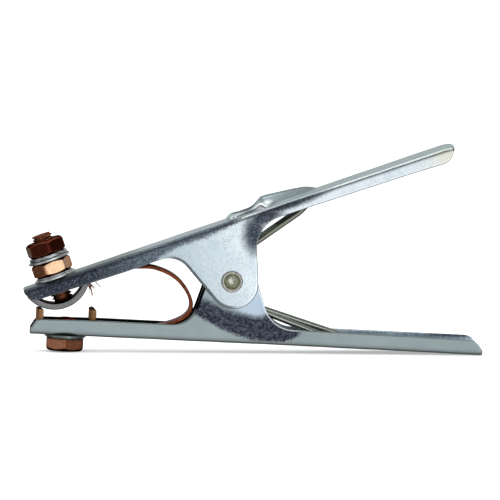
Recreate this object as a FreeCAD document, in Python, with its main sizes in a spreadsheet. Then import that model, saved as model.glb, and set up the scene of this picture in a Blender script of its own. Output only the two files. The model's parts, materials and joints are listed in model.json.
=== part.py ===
import FreeCAD, Part
import math
import os
import Sketcher

# Spring earth clamp for a welding return cable.
#
# Frame: origin on the axis of the pivot rivet, half way between the two
# cheeks.  +X runs along the lower lever towards the ends of the handles, so
# the jaws are at -X.  The rivet axis is Y.  +Z is up and the web of the lower
# lever is level.  Lengths are millimetres and angles are degrees.
#
# The upper lever and everything bolted to it are drawn in the lever's own
# level frame (u along the web, w square to it) and then swung up by
# upper_angle about the rivet, which is the closed position of the clamp.

V = FreeCAD.Vector
doc = FreeCAD.newDocument("ground_clamp")

# ------------------------------------------------------------------ sizes
SIZES = {
    "upper_angle": 21.4, "sheet": 2.0, "bend_outer": 3.0, "bend_inner": 0.5,
    # upper lever in its own frame: w of the web and edges, u of tip and end,
    # half widths across y, and the ear round the pivot
    "up_web_top": 27.2, "up_tip": -92.8, "up_jaw_edge": 20.7,
    "up_handle_edge": 21.2, "up_end_edge": 20.1, "up_end": 116.9,
    "up_half_tip": 9.2, "up_half_ear": 11.55, "up_half_end": 14.6,
    "up_ear_rad": 11.5, "up_ear_cu": 0.35, "up_ear_cw": -1.36,
    # lower lever, likewise in z and x
    "lo_web_bottom": -28.9, "lo_tip": -92.4, "lo_jaw_edge": -21.3,
    "lo_handle_edge": -21.3, "lo_end_edge": -22.0, "lo_end": 117.4,
    "lo_half_tip": 9.0, "lo_half_ear": 9.45, "lo_half_end": 14.4,
    "lo_ear_rad": 11.4,
    # plan of both levers: half length of the parallel part, bow of the handle end
    "ear_flat": 17.0, "end_bulge": 1.1,
    # cable opening on the jaw side of the hood
    "slot_front": 9.6, "slot_back": 24.6, "slot_half": 5.9,
    # pivot
    "rivet_rad": 4.0, "ear_bore": 4.0, "ear_run_bore": 4.08,
    "rivet_hollow": 3.45, "rivet_ring": 5.05, "rivet_head": 6.6,
    "spacer_rad": 6.3, "spacer_bore": 4.08, "spacer_half": 7.38,
    # spring
    "wire_rad": 1.45, "coil_rad": 8.2, "coil_out_y": 5.85, "coil_in_y": 1.5,
    # upper contact: stud, half round shoe, nuts and washers
    "stud_u": -76.8, "stud_rad": 4.85, "stud_top": 48.4, "stud_bore": 5.25,
    "shoe_cw": 29.2, "shoe_rad": 16.5, "shoe_wall": 3.0, "shoe_half": 6.7,
    "spigot_rad": 3.6,
    "nut_across": 16.75, "nut_tall": 6.8, "nut_bore": 4.9,
    "flat_rad": 9.9, "flat_thick": 1.2, "washer_bore": 5.25,
    "tooth_rad": 8.9, "tooth_thick": 0.7,
    "split_rad": 9.1, "split_thick": 1.6,
    # lower contact: bolt, washers and two-pronged shoe
    "bolt_x": -75.8, "bolt_rad": 4.85, "head_across": 17.0, "head_tall": 5.9,
    "bolt_top": -20.7,
    "low_flat_rad": 9.65, "low_flat_thick": 0.95, "low_tooth_rad": 8.9,
    "low_tooth_thick": 0.65,
    "fork_span": 27.2, "fork_wide": 11.6, "fork_wall": 2.6,
    "fork_base": 2.8, "fork_top_front": -16.85, "fork_top_back": -16.1,
    "fork_turn": 5.0,
    # braid
    "braid_half": 6.4, "braid_thick": 1.7,
}
sheet = doc.addObject("Spreadsheet::Sheet", "sizes")
for row, (alias, value) in enumerate(SIZES.items(), start=1):
    sheet.set("A%d" % row, alias)
    sheet.set("B%d" % row, repr(float(value)))
    sheet.setAlias("B%d" % row, alias)
doc.recompute()
size = {alias: float(sheet.get(alias)) for alias in SIZES}

UP_WEB = size["up_web_top"]
LO_WEB = size["lo_web_bottom"]
UP_INNER = UP_WEB - size["sheet"]
LO_INNER = LO_WEB + size["sheet"]
STUD_U = size["stud_u"]
BOLT_X = size["bolt_x"]
CLEAR = 0.06                # gap kept between a web and what lies against it
LEAN = math.radians(size["upper_angle"])
SWING = FreeCAD.Placement(V(0, 0, 0), FreeCAD.Rotation(V(0, 1, 0), -size["upper_angle"]))
ACROSS = FreeCAD.Rotation(V(1, 0, 0), 90)       # lays a cylinder along -Y


def from_lever(u, w, y=0):
    """Point of the closed clamp from the upper lever's own frame."""
    return V(u * math.cos(LEAN) - w * math.sin(LEAN), y,
             u * math.sin(LEAN) + w * math.cos(LEAN))


def to_lever(point):
    """u and w of a point of the closed clamp."""
    return (point.x * math.cos(LEAN) + point.z * math.sin(LEAN),
            -point.x * math.sin(LEAN) + point.z * math.cos(LEAN))


# --------------------------------------------------------- modelling helpers
def outline_edges(corners):
    """Closed outline from corners (x, y, radius): straight runs, rounded corners."""
    count = len(corners)
    starts, ends, arcs = [], [], []
    for i, (x, y, radius) in enumerate(corners):
        corner = V(x, y, 0)
        if radius <= 0:
            starts.append(corner)
            ends.append(corner)
            arcs.append(None)
            continue
        back = V(*corners[i - 1][:2], 0) - corner
        ahead = V(*corners[(i + 1) % count][:2], 0) - corner
        back.normalize()
        ahead.normalize()
        angle = math.acos(max(-1.0, min(1.0, back.dot(ahead))))
        reach = radius / math.tan(angle / 2)
        bisector = back + ahead
        bisector.normalize()
        centre = corner + bisector * (radius / math.sin(angle / 2))
        starts.append(corner + back * reach)
        ends.append(corner + ahead * reach)
        middle = centre + (corner - centre).normalize() * radius
        arcs.append(Part.Arc(starts[-1], middle, ends[-1]))
    edges = []
    for i in range(count):
        if arcs[i] is not None:
            edges.append(arcs[i])
        run_start, run_end = ends[i], starts[(i + 1) % count]
        if run_start.distanceToPoint(run_end) > 1e-6:
            edges.append(Part.LineSegment(run_start, run_end))
    return edges


def mirrored(corners):
    """Corners on the -y side, followed by their mirror images in reverse."""
    return corners + [(x, -y, radius) for x, y, radius in reversed(corners)]


def bind(obj, prop, expression):
    obj.setExpression(prop, expression)


def new_body(name):
    return doc.addObject("PartDesign::Body", name)


def new_sketch(body, name, role, offset=0.0):
    plane = next(f for f in body.Origin.OriginFeatures if f.Role == role)
    sketch = body.newObject("Sketcher::SketchObject", name)
    sketch.AttachmentSupport = [(plane, "")]
    sketch.MapMode = "FlatFace"
    if offset:
        sketch.AttachmentOffset = FreeCAD.Placement(V(0, 0, offset), FreeCAD.Rotation())
    return sketch


def add_edges(sketch, edges):
    for edge in edges:
        sketch.addGeometry(edge, False)


def fill(sketch, corners):
    add_edges(sketch, outline_edges(corners))


def circle(sketch, x, alias):
    """Circle centred at x on the sketch's X axis, its radius bound to the sheet."""
    i = sketch.addGeometry(Part.Circle(V(x, 0, 0), V(0, 0, 1), size[alias]), False)
    if x:
        sketch.addConstraint(Sketcher.Constraint("DistanceX", -1, 1, i, 3, x))
    else:
        sketch.addConstraint(Sketcher.Constraint("PointOnObject", i, 3, -2))
    sketch.addConstraint(Sketcher.Constraint("PointOnObject", i, 3, -1))
    radius = sketch.addConstraint(Sketcher.Constraint("Radius", i, size[alias]))
    bind(sketch, "Constraints[%d]" % radius, "sizes." + alias)


def pad_both_ways(body, name, sketch, length):
    """Pad astride the sketch plane, its whole length an expression."""
    pad = body.newObject("PartDesign::Pad", name)
    pad.Profile = sketch
    pad.SideType = "Symmetric"
    bind(pad, "Length", length)
    doc.recompute()


def pocket(body, name, sketch, **props):
    """Pocket, turned round if its first direction misses the body."""
    before = body.Shape.Volume
    cut = body.newObject("PartDesign::Pocket", name)
    cut.Profile = sketch
    for prop, value in props.items():
        setattr(cut, prop, value)
    doc.recompute()
    if not body.Shape.Volume < before - 1e-3:
        cut.Reversed = not cut.Reversed
        doc.recompute()
    if not body.Shape.Volume < before - 1e-3:
        raise RuntimeError("pocket %s cuts nothing" % name)
    return cut


def pocket_through(body, name, sketch):
    return pocket(body, name, sketch, Type="ThroughAll", SideType="Symmetric")


def turned(name, section, plane="XZ_Plane", prefix=None):
    """Body turned about the vertical axis of its section sketch."""
    prefix = prefix or name
    body = new_body(name)
    sketch = new_sketch(body, prefix + "_section", plane)
    fill(sketch, section)
    turn = body.newObject("PartDesign::Revolution", prefix + "_turn")
    turn.Profile = sketch
    turn.ReferenceAxis = (sketch, ["V_Axis"])
    turn.Angle = 360.0
    doc.recompute()
    return body


def cylinder(name, radius, height=None):
    """Cylinder whose radius is an expression; the height is set if given."""
    obj = doc.addObject("Part::Cylinder", name)
    bind(obj, "Radius", radius)
    if height is not None:
        obj.Height = height
    return obj


def fixed(name, shape):
    obj = doc.addObject("Part::Feature", name)
    obj.Shape = shape
    return obj


def combine(kind, name, base, tool):
    """Boolean of two objects; kind is Cut, Common or Fuse."""
    obj = doc.addObject("Part::" + kind, name)
    obj.Base, obj.Tool = base, tool
    return obj


def cut_all(name, base, tools_name, tools):
    group = doc.addObject("Part::MultiFuse", tools_name)
    group.Shapes = tools
    return combine("Cut", name, base, group)


# ------------------------------------------------------------------- levers
EAR_BLEND = 40.0            # plan radius where the parallel part begins and ends
END_OVERRUN = 1.4           # side outline runs this far past the handle end
TIP_OVERRUN = 1.5           # plan runs this far past the jaw tip
BULGE_SETBACK = 0.6         # corners of the bowed handle end lie this far short
HOLLOW_OVERRUN = 12.0       # hollow runs this far past tip and end


def hollow_plan(tip, end, halves):
    """Plan between the cheeks: the lever's plan moved in by one sheet."""
    flat = size["ear_flat"]
    at_tip, at_ear, at_end = [half - size["sheet"] for half in halves]
    # widths carried on to the overrun so that the walls stay one sheet thick
    front = at_tip - (at_ear - at_tip) / (-flat - tip) * HOLLOW_OVERRUN
    back = at_end + (at_end - at_ear) / (end - flat) * HOLLOW_OVERRUN
    return mirrored([(tip - HOLLOW_OVERRUN, -front, 0), (-flat, -at_ear, EAR_BLEND),
                     (flat, -at_ear, EAR_BLEND), (end + HOLLOW_OVERRUN, -back, 0)])


def trim_plan(tip, end, halves):
    """Plan outline of a lever, with a shallow arc closing the handle end."""
    flat = size["ear_flat"]
    at_tip, at_ear, at_end = halves
    corner_x = end - BULGE_SETBACK
    edges = []
    for edge in outline_edges(mirrored([
            (tip - TIP_OVERRUN, -at_tip, 0), (tip, -at_tip, 0), (-flat, -at_ear, EAR_BLEND),
            (flat, -at_ear, EAR_BLEND), (corner_x, -at_end, 0)])):
        if min(edge.StartPoint.x, edge.EndPoint.x) > corner_x - 1e-6:
            bow = V(end + size["end_bulge"], 0, 0)
            edge = Part.Arc(edge.StartPoint, bow, edge.EndPoint)
        edges.append(edge)
    return edges


def bend_edges(shape, z, min_length, min_y):
    """Long edges lying at height z, further out than min_y on either side."""
    names = []
    for i, edge in enumerate(shape.Edges, start=1):
        box = edge.BoundBox
        if abs(box.ZMin - z) < 0.02 and abs(box.ZMax - z) < 0.02 \
                and box.XLength > min_length and (box.YMin > min_y or box.YMax < -min_y):
            names.append("Edge%d" % i)
    return names


def fillet(body, name, base, edges, alias):
    feature = body.newObject("PartDesign::Fillet", name)
    feature.Base = (base, edges)
    bind(feature, "Radius", "sizes." + alias)
    doc.recompute()


def lever(name, prefix, side, web_out, web_in, bore_alias):
    """Solid blank of a stamped channel, and the tools that hollow and bore it."""
    tip, end = size[prefix + "_tip"], size[prefix + "_end"]
    halves = [size[prefix + "_half_" + place] for place in ("tip", "ear", "end")]
    body = new_body(name + "_body")
    sketch = new_sketch(body, name + "_side", "XZ_Plane")
    fill(sketch, side)
    pad_both_ways(body, name + "_pad", sketch, "sizes.%s_half_end * 2 + 6" % prefix)
    # trim away everything outside the plan
    trim = new_sketch(body, name + "_trim", "XY_Plane")
    fill(trim, mirrored([(tip - 20, -40, 0), (end + 20, -40, 0)]))
    add_edges(trim, trim_plan(tip, end, halves))
    plan = pocket_through(body, name + "_plan", trim)
    edges = bend_edges(body.Shape, web_out, min_length=2.0, min_y=5)
    fillet(body, name + "_bend", plan, edges, "bend_outer")
    # the space between the cheeks, on the rivet's side of the web
    hollow = new_body(name + "_hollow_body")
    sketch = new_sketch(hollow, name + "_hollow", "XY_Plane", web_in)
    fill(sketch, hollow_plan(tip, end, halves))
    pad = hollow.newObject("PartDesign::Pad", name + "_hollow_pad")
    pad.Profile = sketch
    pad.Length = 60.0
    pad.Reversed = web_in < web_out
    doc.recompute()
    edges = bend_edges(hollow.Shape, web_in, min_length=0.5, min_y=4)
    fillet(hollow, name + "_bend_in", pad, edges, "bend_inner")
    # pivot bore across both cheeks
    bore = cylinder(name + "_pivot_bore", "sizes." + bore_alias, 60.0)
    bore.Placement = FreeCAD.Placement(V(0, 30, 0), ACROSS)
    return body, [hollow, bore]


def web_bore(name, x, z):
    """Clearance hole through a web."""
    bore = cylinder(name, "sizes.stud_bore", 8.0)
    bore.Placement.Base = V(x, 0, z)
    return bore


def ear_corner(root, centre, radius, side, level):
    """Corner (x, level, radius) where the tangent from root to the ear's circle
    reaches the level of the ear's far side."""
    dx, dy = root[0] - centre[0], root[1] - centre[1]
    angle = math.atan2(dy, dx) + side * math.acos(radius / math.hypot(dx, dy))
    touch_x = centre[0] + radius * math.cos(angle)
    touch_y = centre[1] + radius * math.sin(angle)
    share = (level - root[1]) / (touch_y - root[1])
    return root[0] + share * (touch_x - root[0]), level, radius


def upper_side():
    """Side outline (u, w, corner radius) with the ear hanging round the rivet."""
    jaw, handle = size["up_jaw_edge"], size["up_handle_edge"]
    radius = size["up_ear_rad"]
    centre = (size["up_ear_cu"], size["up_ear_cw"])
    level = centre[1] - radius
    jaw_root = (-20.3, jaw - 0.45)
    handle_root = (18.9, handle + 0.2)
    end = size["up_end"] + END_OVERRUN
    return [
        (size["up_tip"], UP_WEB, 0.0), (size["up_tip"], jaw, 6.3), (-45.0, jaw - 0.7, 80.0),
        (*jaw_root, 11.2),
        ear_corner(jaw_root, centre, radius, 1, level),
        ear_corner(handle_root, centre, radius, -1, level),
        (*handle_root, 15.4),
        (45.0, handle, 60.0), (95.0, handle - 0.45, 60.0),
        (end, size["up_end_edge"], 6.6), (end, UP_WEB, 0.0),
    ]


def lower_side():
    """Side outline (x, z, corner radius) with the ear standing round the rivet."""
    jaw = size["lo_jaw_edge"]
    radius = size["lo_ear_rad"]
    centre = (0.0, 0.0)
    jaw_root = (-18.6, jaw - 0.2)
    handle_root = (19.55, size["lo_handle_edge"])
    end = size["lo_end"] + END_OVERRUN
    return [
        (size["lo_tip"], LO_WEB, 0.4), (end, LO_WEB, 0.6), (end, size["lo_end_edge"], 5.9),
        (*handle_root, 14.6),
        ear_corner(handle_root, centre, radius, 1, radius),
        ear_corner(jaw_root, centre, radius, -1, radius),
        (*jaw_root, 12.1),
        (-60.0, jaw, 0.0), (-89.4, jaw - 0.55, 2.6), (-92.1, LO_WEB + 3.0, 0.0),
    ]


# Stations of the hood pressed up out of the upper web, outer skin and inner:
# u, height above the web, half width
HOOD_OUTER = [
    (6.6, 0.25, 3.0), (7.6, 1.2, 5.6), (9.2, 2.0, 6.9), (12.5, 2.15, 7.5),
    (18.0, 2.05, 7.6), (20.6, 2.55, 7.6), (23.4, 4.0, 7.6), (25.9, 5.15, 7.6),
    (28.5, 5.15, 7.6), (34.0, 4.55, 7.5), (40.7, 3.9, 7.3), (46.0, 3.1, 6.9),
    (49.0, 2.0, 6.3), (51.0, 0.9, 5.4), (52.2, 0.2, 4.6),
]
HOOD_INNER = [
    (8.6, 0.15, 4.4), (10.4, 0.5, 5.6), (18.0, 0.5, 6.0), (20.6, 1.0, 6.0),
    (23.4, 2.4, 6.0), (25.9, 3.55, 6.0), (28.5, 3.55, 6.0), (34.0, 2.95, 5.9),
    (40.7, 2.3, 5.7), (45.4, 1.5, 5.3), (48.4, 0.5, 4.7),
]


def hood_section(u, height, half, base):
    """Closed section across the lever: a flat-topped dome standing on base."""
    steps = 24
    dome = [V(u, half, UP_WEB)]
    for k in range(1, steps):
        angle = math.pi * k / steps
        cosine, sine = math.cos(angle), math.sin(angle)
        dome.append(V(u, half * math.copysign(abs(cosine) ** 0.78, cosine),
                      UP_WEB + height * abs(sine) ** 0.85))
    dome.append(V(u, -half, UP_WEB))
    foot_left, foot_right = V(u, -half, base), V(u, half, base)
    return Part.Wire([spline(dome), Part.makeLine(dome[-1], foot_left),
                      Part.makeLine(foot_left, foot_right),
                      Part.makeLine(foot_right, dome[0])])


def spline(points):
    curve = Part.BSplineCurve()
    curve.interpolate(points)
    return curve.toShape()


def hood(name, stations, base):
    sections = [hood_section(u, height, half, base) for u, height, half in stations]
    return fixed(name, Part.makeLoft(sections, True, False))


def cable_slot():
    """Cutter for the cable opening in the web and the lip round it."""
    half = size["slot_half"]
    corners = mirrored([(size["slot_front"], -half, 5.0), (size["slot_back"], -half, 1.2)])
    wire = Part.Wire([edge.toShape() for edge in outline_edges(corners)])
    wire.translate(V(0, 0, UP_WEB - 6))
    return fixed("cable_slot", Part.Face(wire).extrude(V(0, 0, 20)))


def make_upper_lever():
    blank, tools = lever("upper", "up", upper_side(), UP_WEB, UP_INNER, "ear_bore")
    tools.append(web_bore("upper_stud_hole", STUD_U, UP_WEB - 5.0))
    outer = hood("hood_outer", HOOD_OUTER, UP_WEB - 1.0)
    inner = hood("hood_inner", HOOD_INNER, UP_WEB - 4.0)
    slot = cable_slot()
    hooded = combine("Fuse", "upper_with_hood", blank, outer)
    obj = cut_all("upper_lever", hooded, "upper_tools", tools + [inner, slot])
    obj.Placement = SWING
    return obj


def make_lower_lever():
    blank, tools = lever("lower", "lo", lower_side(), LO_WEB, LO_INNER, "ear_run_bore")
    tools.append(web_bore("lower_bolt_hole", BOLT_X, LO_WEB - 3.0))
    return cut_all("lower_lever", blank, "lower_tools", tools)


# --------------------------------------------------------- nuts and washers
def hex_blank(across):
    """End face radius, corner radius and chamfer height of a turned hexagon blank."""
    face = across * 0.475
    corner = across / math.sqrt(3.0) + 0.02
    return face, corner, (corner - face) * 0.52


def cut_flats(body, name, across, turn):
    """Cut the six flats; turn is the angle of the first corner."""
    sketch = new_sketch(body, name + "_flats", "XY_Plane")
    corner = across / math.sqrt(3.0)
    fill(sketch, mirrored([(-20, -20, 0), (20, -20, 0)]))
    fill(sketch, [(corner * math.cos(math.radians(60 * k + turn)),
                   corner * math.sin(math.radians(60 * k + turn)), 0) for k in range(6)])
    pocket_through(body, name + "_hex", sketch)


def nut(name, turn):
    across, tall, bore = size["nut_across"], size["nut_tall"], size["nut_bore"]
    face, corner, chamfer = hex_blank(across)
    lead = 0.7                  # countersink at each end of the bore
    body = turned(name, [
        (bore, lead, 0), (bore + lead, 0, 0), (face, 0, 0), (corner, chamfer, 0),
        (corner, tall - chamfer, 0), (face, tall, 0), (bore + lead, tall, 0),
        (bore, tall - lead, 0)])
    cut_flats(body, name, across, turn)
    return body


def washer(name, rad_alias, thick_alias):
    rad, thick, bore = size[rad_alias], size[thick_alias], size["washer_bore"]
    edge = min(0.25, thick * 0.3)
    return turned(name, [(bore, 0, 0), (rad, 0, edge), (rad, thick, edge), (bore, thick, 0)])


def toothed_washer(name, prefix, rad_alias, thick_alias):
    """Washer with a ring of notches that leave the teeth."""
    teeth, depth, wide = 12, 1.7, 1.3
    rad = size[rad_alias]
    body = washer(name, rad_alias, thick_alias)
    sketch = new_sketch(body, prefix + "_gap", "XY_Plane")
    fill(sketch, mirrored([(rad - depth, -wide / 2, wide * 0.3), (rad + 2, -wide / 2, 0)]))
    gap = pocket_through(body, prefix + "_notch", sketch)
    pattern = body.newObject("PartDesign::PolarPattern", prefix + "_teeth")
    pattern.Originals = [gap]
    pattern.Axis = (sketch, ["N_Axis"])
    pattern.Angle = 360.0
    pattern.Occurrences = teeth
    body.Tip = pattern
    doc.recompute()
    return body


def split_washer(name, prefix):
    """Washer with one sloping saw cut through its ring."""
    body = washer(name, "split_rad", "split_thick")
    above = size["split_thick"] + 1
    sketch = new_sketch(body, prefix + "_split", "XZ_Plane")
    fill(sketch, [(-1.5, -1, 0), (-0.1, -1, 0), (1.5, above, 0), (0.1, above, 0)])
    pocket(body, prefix + "_cut", sketch, Type="Length", Length=12.0)
    return body


# ------------------------------------------------------------ upper contact
def make_stud_stack():
    """Washers and nuts on the stud, stacked in order from the web outwards."""
    stack = [
        (washer("stud_flat_washer", "flat_rad", "flat_thick"), "flat_thick"),
        (toothed_washer("stud_lock_washer", "stud_lock", "tooth_rad", "tooth_thick"),
         "tooth_thick"),
        (nut("clamp_nut", turn=9.3), "nut_tall"),
        (washer("cable_flat_washer", "flat_rad", "flat_thick"), "flat_thick"),
        (split_washer("cable_lock_washer", "cable_lock"), "split_thick"),
        (nut("cable_nut", turn=41.0), "nut_tall"),
    ]
    cosine = "cos(sizes.upper_angle * 1 deg)"
    sine = "sin(sizes.upper_angle * 1 deg)"
    level = "sizes.up_web_top"
    for obj, thick_alias in stack:
        obj.Placement = SWING
        bind(obj, ".Placement.Base.x", "sizes.stud_u * %s - (%s) * %s" % (cosine, level, sine))
        bind(obj, ".Placement.Base.z", "sizes.stud_u * %s + (%s) * %s" % (sine, level, cosine))
        level += " + sizes." + thick_alias
    return [obj for obj, _ in stack]


SHOE_W = size["shoe_cw"]                        # centre of the shoe's arc
SHOE_OUTER = size["shoe_rad"]
SHOE_INNER = SHOE_OUTER - size["shoe_wall"]
SHOE_BOTTOM = SHOE_W - SHOE_OUTER


def make_upper_shoe():
    """Half round strip, its two legs standing against the braid."""
    leg_top = UP_INNER - size["braid_thick"] - CLEAR

    def leg(radius, side):
        return V(STUD_U + side * math.sqrt(radius * radius - (leg_top - SHOE_W) ** 2),
                 leg_top, 0)

    outer_front, outer_back = leg(SHOE_OUTER, -1), leg(SHOE_OUTER, 1)
    inner_front, inner_back = leg(SHOE_INNER, -1), leg(SHOE_INNER, 1)
    body = new_body("upper_contact_shoe")
    sketch = new_sketch(body, "shoe_section", "XZ_Plane")
    add_edges(sketch, [
        Part.Arc(outer_front, V(STUD_U, SHOE_BOTTOM, 0), outer_back),
        Part.LineSegment(outer_back, inner_back),
        Part.Arc(inner_back, V(STUD_U, SHOE_W - SHOE_INNER, 0), inner_front),
        Part.LineSegment(inner_front, outer_front),
    ])
    pad_both_ways(body, "shoe_pad", sketch, "sizes.shoe_half * 2")
    sketch = new_sketch(body, "shoe_hole", "XY_Plane", SHOE_BOTTOM + 1.0)
    circle(sketch, STUD_U, "spigot_rad")
    pocket(body, "shoe_spigot", sketch, Type="Length", Length=9.0, SideType="Symmetric")
    body.Placement = SWING
    return body


def make_contact_stud():
    """Shank seated in the shoe, with a spigot peened flush below."""
    chamfer = 1.2
    shank = cylinder("stud_shank", "sizes.stud_rad")
    bind(shank, "Height",
         "sizes.stud_top - sizes.shoe_cw + sizes.shoe_rad - %s" % chamfer)
    shank.Placement.Base = V(STUD_U, 0, SHOE_BOTTOM)
    spigot = cylinder("stud_spigot", "sizes.spigot_rad", 8.0)
    spigot.Placement.Base = V(STUD_U, 0, SHOE_BOTTOM - 2)
    cone = doc.addObject("Part::Cone", "stud_chamfer")
    bind(cone, "Radius1", "sizes.stud_rad")
    bind(cone, "Radius2", "sizes.stud_rad - 1")
    cone.Height = chamfer
    cone.Placement.Base = V(STUD_U, 0, size["stud_top"] - chamfer)

    def shoe_cylinder(radius):
        return Part.makeCylinder(radius, 40, V(STUD_U, -20, SHOE_W), V(0, 1, 0))

    # all that lies outside the shoe's inner face, near the foot of the shank
    foot = Part.makeBox(60, 60, 14, V(STUD_U - 30, -30, SHOE_BOTTOM - 7))
    band = fixed("shoe_band",
                 shoe_cylinder(SHOE_OUTER + 6).cut(shoe_cylinder(SHOE_INNER)).common(foot))
    skin = fixed("shoe_skin", shoe_cylinder(SHOE_OUTER))
    saddle = combine("Cut", "stud_saddle", shank, band)
    peened = combine("Common", "stud_peened", spigot, skin)
    both = combine("Fuse", "stud_both", saddle, peened)
    stud = combine("Fuse", "contact_stud", both, cone)
    stud.Refine = True
    stud.Placement = SWING
    return stud


# ------------------------------------------------------------ lower contact
def stand_on_bolt(obj, level):
    """Stand a piece on the bolt axis at a height given as an expression."""
    bind(obj, ".Placement.Base.x", "sizes.bolt_x")
    bind(obj, ".Placement.Base.z", level)


def make_lower_bolt():
    across, head = size["head_across"], size["head_tall"]
    rad = size["bolt_rad"]
    face, corner, chamfer = hex_blank(across)
    base = LO_WEB - size["low_flat_thick"] - size["low_tooth_thick"] - head
    tall = size["bolt_top"] - base
    bolt = turned("lower_contact_bolt", [
        (0, 0, 0), (face, 0, 0), (corner, chamfer, 0), (corner, head, 0), (rad, head, 0),
        (rad, tall - 1.3, 0), (rad - 0.9, tall - 0.35, 0), (0, tall, 0)])
    cut_flats(bolt, "bolt", across, turn=27.8)
    return bolt


def make_bolt_stack():
    """Washers and bolt hanging below the web; each starts its own height lower."""
    stack = [
        (washer("lower_flat_washer", "low_flat_rad", "low_flat_thick"), "low_flat_thick"),
        (toothed_washer("lower_lock_washer", "low_lock", "low_tooth_rad", "low_tooth_thick"),
         "low_tooth_thick"),
        (make_lower_bolt(), "head_tall"),
    ]
    level = "sizes.lo_web_bottom"
    for obj, thick_alias in stack:
        level += " - sizes." + thick_alias
        stand_on_bolt(obj, level)
    return [obj for obj, _ in stack]


def make_lower_shoe():
    """Strip folded up into two prongs, with a hole for the bolt."""
    half, wall, floor = size["fork_span"] / 2, size["fork_wall"], size["fork_base"]
    base_z = LO_INNER + size["braid_thick"] + CLEAR
    front = size["fork_top_front"] - base_z
    back = size["fork_top_back"] - base_z
    fork = new_body("lower_contact_shoe")
    sketch = new_sketch(fork, "fork_section", "XZ_Plane")
    fill(sketch, [
        (-half, 0, 2.2), (half, 0, 2.2), (half, back, 0.8), (half - wall, back, 0.5),
        (half - wall, floor, 0.8), (-half + wall, floor, 0.8),
        (-half + wall, front, 0.5), (-half, front, 0.8)])
    pad_both_ways(fork, "fork_pad", sketch, "sizes.fork_wide")
    sketch = new_sketch(fork, "fork_hole", "XY_Plane")
    circle(sketch, 0, "nut_bore")
    pocket(fork, "fork_tapping", sketch, Type="Length", Length=2 * floor + 1.0,
           SideType="Symmetric")
    turn = FreeCAD.Rotation(V(0, 0, 1), size["fork_turn"])
    fork.Placement = FreeCAD.Placement(V(0, 0, 0), turn)
    stand_on_bolt(fork, "sizes.lo_web_bottom + sizes.sheet + sizes.braid_thick + %s" % CLEAR)
    return fork


# -------------------------------------------------------------------- pivot
def make_rivet():
    """Turned about Y: rolled ring at -Y, domed head at +Y."""
    cheek = size["up_half_ear"]
    rad, hollow = size["rivet_rad"], size["rivet_hollow"]
    ring, head = size["rivet_ring"], size["rivet_head"]
    return turned("pivot_rivet", [
        (0, -cheek + 3.2, 0), (hollow - 1.3, -cheek + 2.2, 0.6), (hollow, -cheek + 0.4, 0.8),
        (hollow, -cheek - 0.75, 0.25), (hollow + 0.55, -cheek - 1.15, 0.3),
        (ring - 0.35, -cheek - 1.1, 0.5), (ring, -cheek - 0.5, 0.3), (ring - 0.1, -cheek, 0),
        (rad, -cheek, 0), (rad, cheek, 0), (head, cheek, 0), (head - 0.35, cheek + 1.0, 1.2),
        (head - 2.9, cheek + 2.1, 2.0), (0, cheek + 2.3, 0),
    ], plane="XY_Plane", prefix="rivet")


def make_spacer():
    outer = cylinder("spacer_outer", "sizes.spacer_rad")
    inner = cylinder("spacer_inner", "sizes.spacer_bore")
    for tube in (outer, inner):
        bind(tube, "Height", "sizes.spacer_half * 2")
    spacer = combine("Cut", "pivot_spacer_tube", outer, inner)
    spacer.Placement = FreeCAD.Placement(V(0, size["spacer_half"], 0), ACROSS)
    return spacer


# ------------------------------------------------------------------- spring
UPPER_LEG_ANGLE = 127.4     # where the upper legs leave the coil
UPPER_LEG = 44.0            # their length
NEAR_SLOPE, FAR_SLOPE = 19.2, 15.9      # lower legs at -Y and +Y, against the level
LEG_STEPS, COIL_STEPS, LOOP_STEPS = 12, 66, 16
WIRE_SECTIONS = 210


def half_spring(side, slope):
    """Points from the free end in the lower handle, round the coil, to the loop."""
    coil = size["coil_rad"]
    end_z = LO_INNER + size["wire_rad"] + CLEAR
    upper = math.radians(UPPER_LEG_ANGLE)
    lower = math.radians(270.0 - slope)
    y_out, y_in = size["coil_out_y"] * side, size["coil_in_y"] * side
    start = V(coil * math.cos(lower), y_in, coil * math.sin(lower))
    along = V(-math.sin(lower), 0, math.cos(lower))
    run = (end_z - start.z) / along.z
    points = [start + along * (run * k / LEG_STEPS) for k in range(LEG_STEPS, 0, -1)]
    sweep = lower - upper + 2 * math.pi
    for k in range(COIL_STEPS + 1):
        share = k / COIL_STEPS
        angle = lower - sweep * share
        points.append(V(coil * math.cos(angle), y_in + (y_out - y_in) * share,
                        coil * math.sin(angle)))
    leave = points[-1]
    along = V(math.sin(upper), 0, -math.cos(upper))
    points += [leave + along * (UPPER_LEG * k / LEG_STEPS) for k in range(1, LEG_STEPS + 1)]
    return points


def make_spring():
    """One length of wire: a coil each side, joined by a loop under the upper web."""
    near = half_spring(-1, NEAR_SLOPE)
    far = half_spring(1, FAR_SLOPE)
    # both upper legs end at the same u and w
    leg_u, leg_w = to_lever(near[-1])
    rise = UP_INNER - size["wire_rad"] - CLEAR - leg_w
    loop = []
    for k in range(1, LOOP_STEPS):
        angle = math.pi * k / LOOP_STEPS
        bow = math.sin(angle)
        loop.append(from_lever(leg_u + 1.5 * min(1.0, bow * 2) + 6.5 * bow,
                               leg_w + rise * min(1.0, bow * 1.3),
                               -size["coil_out_y"] * math.cos(angle)))
    curve = Part.BSplineCurve()
    curve.interpolate(near + loop + list(reversed(far)))
    first, last = curve.FirstParameter, curve.LastParameter
    rings = []
    for k in range(WIRE_SECTIONS + 1):
        at = first + (last - first) * k / WIRE_SECTIONS
        ring = Part.Circle(curve.value(at), curve.tangent(at)[0], size["wire_rad"])
        rings.append(Part.Wire([ring.toShape()]))
    return fixed("torsion_spring", Part.makeLoft(rings, True, False))


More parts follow.
